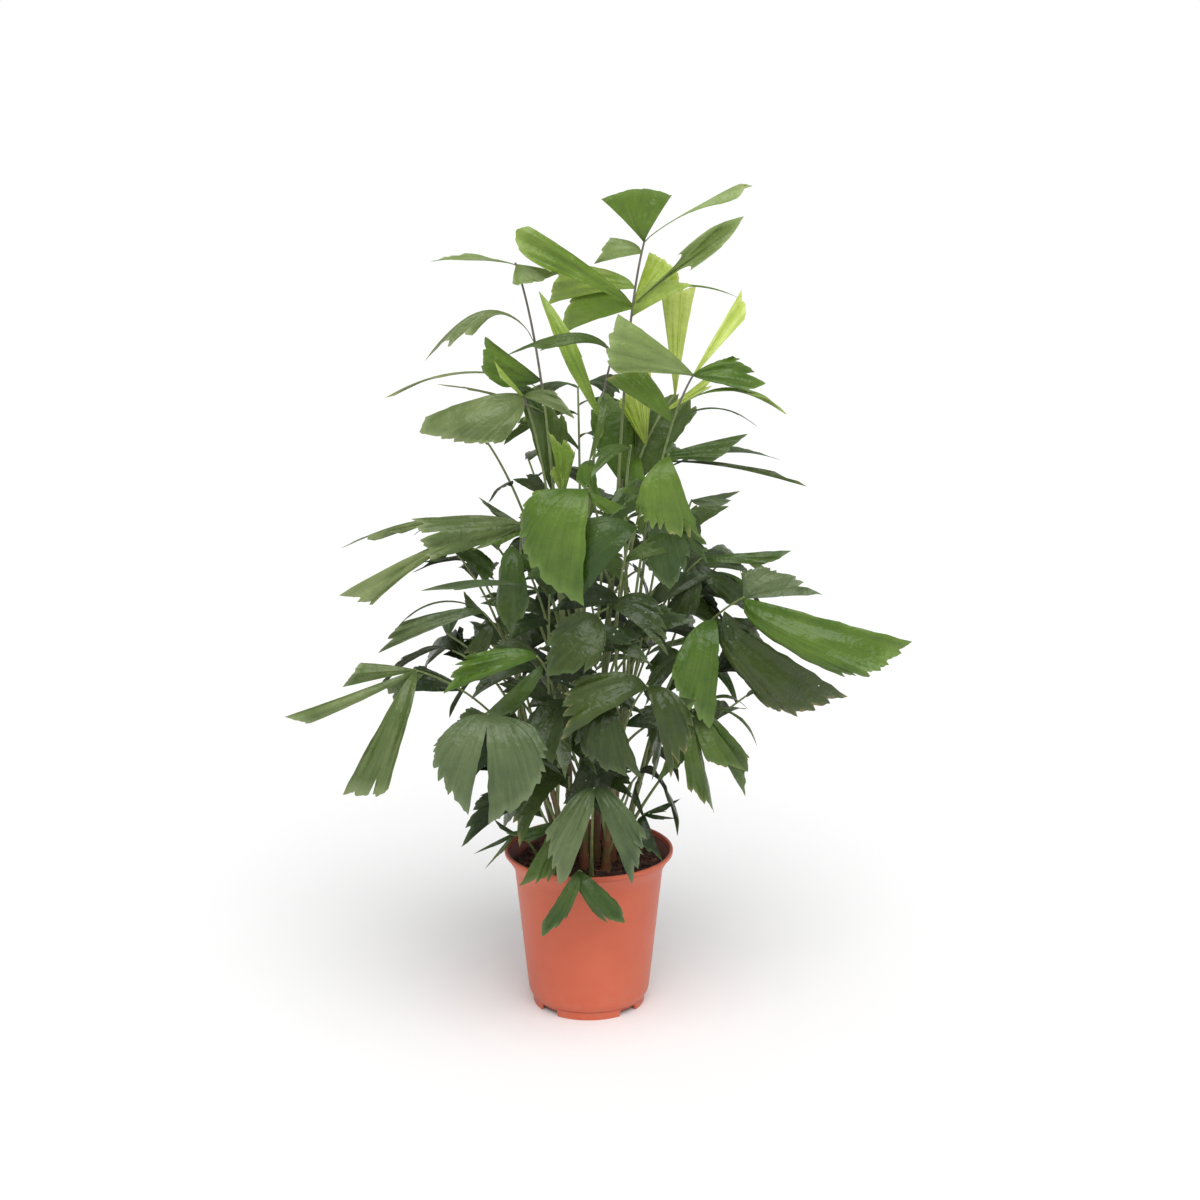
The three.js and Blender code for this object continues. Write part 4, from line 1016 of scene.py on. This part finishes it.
def far_margin(leaf, part, width):
    """How much of each vein the far margin cuts off. Lobes with small saw teeth on them step back
    to either side of the tail, and a wide blade is split here and there."""
    cut = np.zeros(part.size)
    for widths, depths in ((LOBE_WIDTH, LOBE_DEPTH), (TOOTH_WIDTH, TOOTH_DEPTH)):
        for side in (-1, 1):
            place = leaf["peak"]
            while 0 <= place <= 1:
                lobe = chance.uniform(*widths) / width
                inside = (part - place) * side / lobe
                depth = leaf["teeth"] * chance.uniform(*depths) / leaf["length"]
                within = (inside >= 0) & (inside < 1)
                cut[within] += depth * inside[within] ** 1.5
                place += side * lobe
    cut += leaf["teeth"] * chance.uniform(0, RAGGEDNESS, part.size) / leaf["length"]
    if width > SPLIT_WIDTH and leaf["teeth"] > 0.5 and chance.random() < SPLIT_CHANCE:
        cut[chance.integers(3, part.size - 3)] += chance.uniform(*SPLIT_DEPTH)
    return np.minimum(cut + leaf["oval"] * from_peak(leaf, part) ** 4, MOST_CUT)


def waved(places, phase=0.0):
    """A wave that comes round at each whole place, begun at a drawn one."""
    return np.sin(2 * math.pi * (places + chance.random()) + phase)


def blade(leaf):
    """The two faces of a leaflet as grids of points, rows from root to far margin, and its blade
    places: across in decimetres and along from 0 to 1."""
    spread = math.radians(leaf["spread"]) * (STRAP_NARROWING if leaf["flat"] else 1)
    width = 2 * leaf["length"] * math.sin(abs(spread) / 2)
    breadth = min(1, width / BROAD_WIDTH)
    columns = int(np.clip(width / BLADE_COLUMN_WIDTH, *BLADE_COLUMNS)) // 2 * 2
    part = np.linspace(0, 1, columns + 1)
    along = np.linspace(0, 1, BLADE_ROWS + 1)[:, None]
    length = leaf_lengths(leaf, part, leaf["tail"], leaf["full"])
    bite = 1 - far_margin(leaf, part, width) * np.clip((along - 0.5) / 0.5, 0, 1) ** 1.3
    angle = (part - leaf["peak"]) * spread
    hang = 0 if leaf["flat"] else max(0.0, -leaf["out"].z)
    shoulder = leaf["waist"] or SHOULDER_POWER + RISE_NARROWING * max(0.0, leaf["out"].z)
    outward = length * np.cos(angle) * bite * along ** (1 + HANG_DELAY * hang)
    sway = chance.normal(0, SWAY) * leaf["length"] * along ** 2
    aside = length * np.sin(angle) * along ** shoulder * bite + root_across(leaf, part, along)
    middle = (aside[:, :1] + aside[:, -1:]) / 2
    across = 2 * part - 1
    jags = leaf["teeth"] * chance.uniform(0, SIDE_JAG, (BLADE_ROWS + 1, 2)) * (along > 0.4)
    jags = np.where(across < 0, jags[:, :1], jags[:, 1:])
    from_middle = (aside - middle) * (1 - jags * np.abs(across) ** 3)
    half_width = np.abs(from_middle[:, -1:] - from_middle[:, :1]) / 2
    run = length / leaf["length"] * bite * along
    puckers = sum(waved(chance.uniform(0.6, 3) * part + chance.uniform(-1.6, 1.6) * along) for _ in range(4))
    puckers = PUCKER * leaf["length"] * breadth * puckers * along * (1.3 - along)
    puckers = puckers + FLUTE * leaf["length"] * breadth * waved(chance.uniform(1.8, 4) * part) * along ** 1.4
    fold = chance.uniform(*FOLD) * half_width * np.abs(across) ** chance.uniform(1, 1.8)
    curl = chance.uniform(*CURL) * leaf["length"] * run ** 2.6
    waves = chance.uniform(*WAVES)
    ripple = chance.uniform(*RIPPLE) * leaf["length"] * breadth * along ** 1.5
    ripple = ripple * waved(waves * part, 2.5 * along)
    pleats = np.cumsum(chance.normal(0, 1, columns + 1))
    pleats = (pleats - np.linspace(pleats[0], pleats[-1], columns + 1)) * 0.3
    pleats = pleats + chance.normal(0, 0.6, columns + 1)
    pleats = pleats * PLEAT_DEPTH.get(leaf["tone"], USUAL_PLEAT)
    pleats = pleats * np.sin(math.pi * np.clip(along, 0, 0.8) / 1.6)
    arch = 4 * (leaf["arch"] + HANG_ARCH * hang) * leaf["length"] * run ** 0.8 * (1 - run) - curl
    lift = ripple + puckers + pleats - fold
    twist = math.radians(chance.uniform(*TWIST)) * along
    places = set_out(leaf, outward,
                     middle + from_middle * np.cos(twist) - lift * np.sin(twist) + sway,
                     arch + from_middle * np.sin(twist) + lift * np.cos(twist))
    normal = np.cross(np.gradient(places, axis=1), np.gradient(places, axis=0))
    normal /= np.linalg.norm(normal, axis=2, keepdims=True) + 1e-9
    if np.mean(normal @ np.array(leaf["face"])) < 0:
        normal = -normal
    half = normal * BLADE_THICKNESS / 2
    offset = MARK_STEP * chance.integers(1, 80)
    marks = np.stack(np.broadcast_arrays(part * width / 100 + offset, along), axis=2)
    return places + half, places - half, marks


def join_blades(name, leaves, finishes):
    """One piece of many leaflets. Each leaflet's upper and under face has a cell of its own in the map
    named OFBake, and the map named blade holds the blade places."""
    points = []
    faces = []
    kinds = []
    maps = {"blade": [], "OFBake": []}
    start = 0
    cells = math.ceil(math.sqrt(2 * len(leaves)))
    for number, leaf in enumerate(leaves):
        upper, under, marks = blade(leaf)
        rows, columns, _ = upper.shape
        count = rows * columns
        points.extend([upper.reshape(-1, 3), under.reshape(-1, 3)])
        grid = np.arange(count).reshape(rows, columns)
        quads = np.stack([grid[:-1, :-1], grid[1:, :-1], grid[1:, 1:], grid[:-1, 1:]], axis=2).reshape(-1, 4)
        rim = np.concatenate([grid[:-1, 0], grid[-1, :-1], grid[::-1, -1][:-1], grid[0, ::-1][:-1]])
        rim_next = np.roll(rim, -1)
        edge = np.stack([rim_next, rim, rim + count, rim_next + count], axis=1)
        sheets = [quads, quads[:, ::-1] + count, edge]
        if leaf["spread"] > 0:
            sheets = [sheet[:, ::-1] for sheet in sheets]
        local = np.concatenate(sheets)
        faces.append(local + start)
        kinds.append(np.repeat([0, 1, 0], [len(quads), len(quads), len(edge)]))
        start += 2 * count
        flat = marks.reshape(-1, 2)
        maps["blade"].append(np.concatenate([flat, flat])[local.reshape(-1)])
        unit = np.stack([(flat[:, 0] - flat[0, 0]) / (np.ptp(flat[:, 0]) + 1e-9), flat[:, 1]], axis=1)
        corners = [np.array([cell % cells, cell // cells]) for cell in (2 * number, 2 * number + 1)]
        laid = [(corner + BAKE_MARGIN + (1 - 2 * BAKE_MARGIN) * unit) / cells for corner in corners]
        maps["OFBake"].append(np.concatenate(laid)[local.reshape(-1)])
    piece = add_piece(name, np.concatenate(points), np.concatenate(faces).tolist(), finishes,
                      np.concatenate(kinds), 40)
    for map_name, values in maps.items():
        layer = piece.data.uv_layers.new(name=map_name)
        layer.data.foreach_set("uv", np.concatenate(values).astype(np.float32).reshape(-1))
    return piece


def leaf_finish(name, low, high, roughness, droplets):
    """A blade's finish: streaks along the veins, a cloudy tint that differs from blade to blade,
    painted shade towards its root, a painted highlight along its far margin, a waxy surface, and
    on a few blades a dry far margin."""
    made, shader = new_finish(name, (*high, 1), roughness)
    shader.inputs["Specular IOR Level"].default_value = LEAF_GLOSS
    marks = add_node(shader.id_data, "ShaderNodeUVMap", {}, uv_map="blade").outputs[0]
    across, along, _ = add_node(shader.id_data, "ShaderNodeSeparateXYZ", {"Vector": marks}).outputs
    number = {"W": reckon("FLOOR", reckon("DIVIDE", across, MARK_STEP))}
    own = add_node(shader.id_data, "ShaderNodeTexWhiteNoise", number, noise_dimensions="1D").outputs["Value"]
    places = own_places(shader)
    fine = noise(stretched(marks, (62, 1.2, 1)), 1.0, 2)
    broad = noise(stretched(marks, (13, 2, 1)), 1.0, 3)
    ragged = noise(stretched(marks, (9, 0, 1)), 1.0, 2)
    cloud = noise(places, 16, 4)
    swell = noise(places, 40, 3)
    tint = add_up(multiply(broad, 0.3), multiply(cloud, 0.45), multiply(own, 0.25))
    colour = blend(spread_out(tint, 0.36, 0.64), (*low, 1), (*high, 1))
    shade = (low[0] * 0.7, low[1] * 0.74, low[2] * 0.7, 1)
    colour = blend(multiply(spread_out(fine, 0.62, 0.4), 0.22), colour, shade)
    # Painted shade: each blade darkens towards its root, deep in the crown.
    colour = blend(multiply(spread_out(along, 0.4, 0.0), 0.5), colour, shade)
    dry = multiply(spread_out(along, 0.95, 1.0), spread_out(ragged, 0.45, 0.7), spread_out(own, 0.7, 0.85))
    # Painted highlight: a paler band along each blade's far margin.
    rim = (min(high[0] * 1.2 + 0.03, 1), min(high[1] * 1.15 + 0.04, 1), high[2] * 1.2 + 0.04, 1)
    colour = blend(multiply(spread_out(along, 0.9, 1.0), 0.5), colour, rim)
    colour = blend(dry, colour, STRAW_COLOUR)
    # Water droplets on the dark blades, drawn as pale spots: their glints are painted highlights.
    if droplets:
        sockets = {"Vector": places, "Scale": DROPLET_SCALE}
        beads = add_node(shader.id_data, "ShaderNodeTexVoronoi", sockets).outputs["Distance"]
        wet_glints = multiply(spread_out(beads, 0.1, 0.07), spread_out(noise(places, 11), 0.55, 0.6))
        colour = blend(wet_glints, colour, DROPLET_GLINT_COLOUR)
    relief = add_up(multiply(fine, 0.15), multiply(broad, 0.4), multiply(swell, 4.5), noise(places, 120, 2))
    rough = add_up(multiply(cloud, 0.24), roughness - 0.12)
    dress(shader, colour, relief, LEAF_RELIEF, rough, strength=0.8)
    return made


def deal_out(fronds):
    """The fronds' leaflets, by tone."""
    return {tone: [leaf for placed in fronds for leaf in placed["leaves"] if leaf["tone"] == tone]
            for tone in TONES}


outer_leaves = deal_out(front + back)
inner_leaves = deal_out(inner)
chance = np.random.default_rng(5)
for tone, shades in TONES.items():
    # Painted shade: the under faces take the upper colours scaled down, to darken the crown's inside.
    under_shades = [tuple(value * UNDER_SHADE[0] + UNDER_SHADE[1] for value in shade) for shade in shades]
    finishes = [leaf_finish(f"leaf_{tone}", *shades, LEAF_ROUGHNESS, tone == "dark"),
                leaf_finish(f"leaf_{tone}_under", *under_shades, UNDER_ROUGHNESS, False)]
    piece = join_blades(f"blades_{tone}", outer_leaves[tone], finishes)
    worn_by = [placed["name"] for placed in front + back if placed["tone"] == tone]
    if worn_by:
        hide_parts(*worn_by)
    if inner_leaves[tone]:
        piece = join_blades(f"inner_blades_{tone}", inner_leaves[tone], finishes)


# The stalks carry the leaflets. Each is a slim rod, green and mauve towards the crown, thicker at
# its foot where it clasps the cane, and it ends at its last leaflet's root.
STALK_SIDES = 10
STALK_RINGS = 26
STALK_SLIMNESS = 0.6
STALK_CLASP = 1.8
CLASP_FADE = 14
STALK_NUDGE = 0.01
STALK_COLOURS = {
    "green_stalk": ((0.13, 0.18, 0.05, 1), (0.24, 0.29, 0.11, 1)),
    "mauve_stalk": ((0.12, 0.1, 0.085, 1), (0.2, 0.18, 0.15, 1)),
}
MAUVE_HEIGHT = 870

stalk_finishes = []
for name, (shade, colour) in STALK_COLOURS.items():
    finish, shader = new_finish(name, colour, 0.45)
    streaks = noise(stretched(own_places(shader), (1, 1, 0.08)), 380, 3)
    dress(shader, blend(spread_out(streaks, 0.35, 0.65), shade, colour), streaks, 0.0005)
    stalk_finishes.append(finish)
stalk_points = []
stalk_faces = []
for placed in front + back + inner:
    rings = []
    curve = placed["curve"]
    last = min(max((leaf["share"] for leaf in placed["leaves"]), default=1) + STALK_NUDGE, 1)
    for step in range(STALK_RINGS + 1):
        share = last * step / STALK_RINGS
        ahead, behind = along_curve(curve, share + STALK_NUDGE), along_curve(curve, share - STALK_NUDGE)
        heading = (ahead - behind).normalized()
        side = Vector((0, 1, 0)).cross(heading).normalized()
        other = heading.cross(side)
        radius = stalk_radius(share) * STALK_SLIMNESS + STALK_CLASP * math.exp(-share * CLASP_FADE)
        rings.append([along_curve(curve, share) + (side * math.cos(turn) + other * math.sin(turn)) * radius
                      for turn in turns(STALK_SIDES)])
    stalk_faces.extend(skin_rings(rings, len(stalk_points)))
    stalk_points.extend(point for ring in rings for point in ring)
stalk_kinds = [int(stalk_points[face[0]].z > MAUVE_HEIGHT) for face in stalk_faces]
stalks = add_piece("frond_stalks", stalk_points, stalk_faces, stalk_finishes, stalk_kinds)
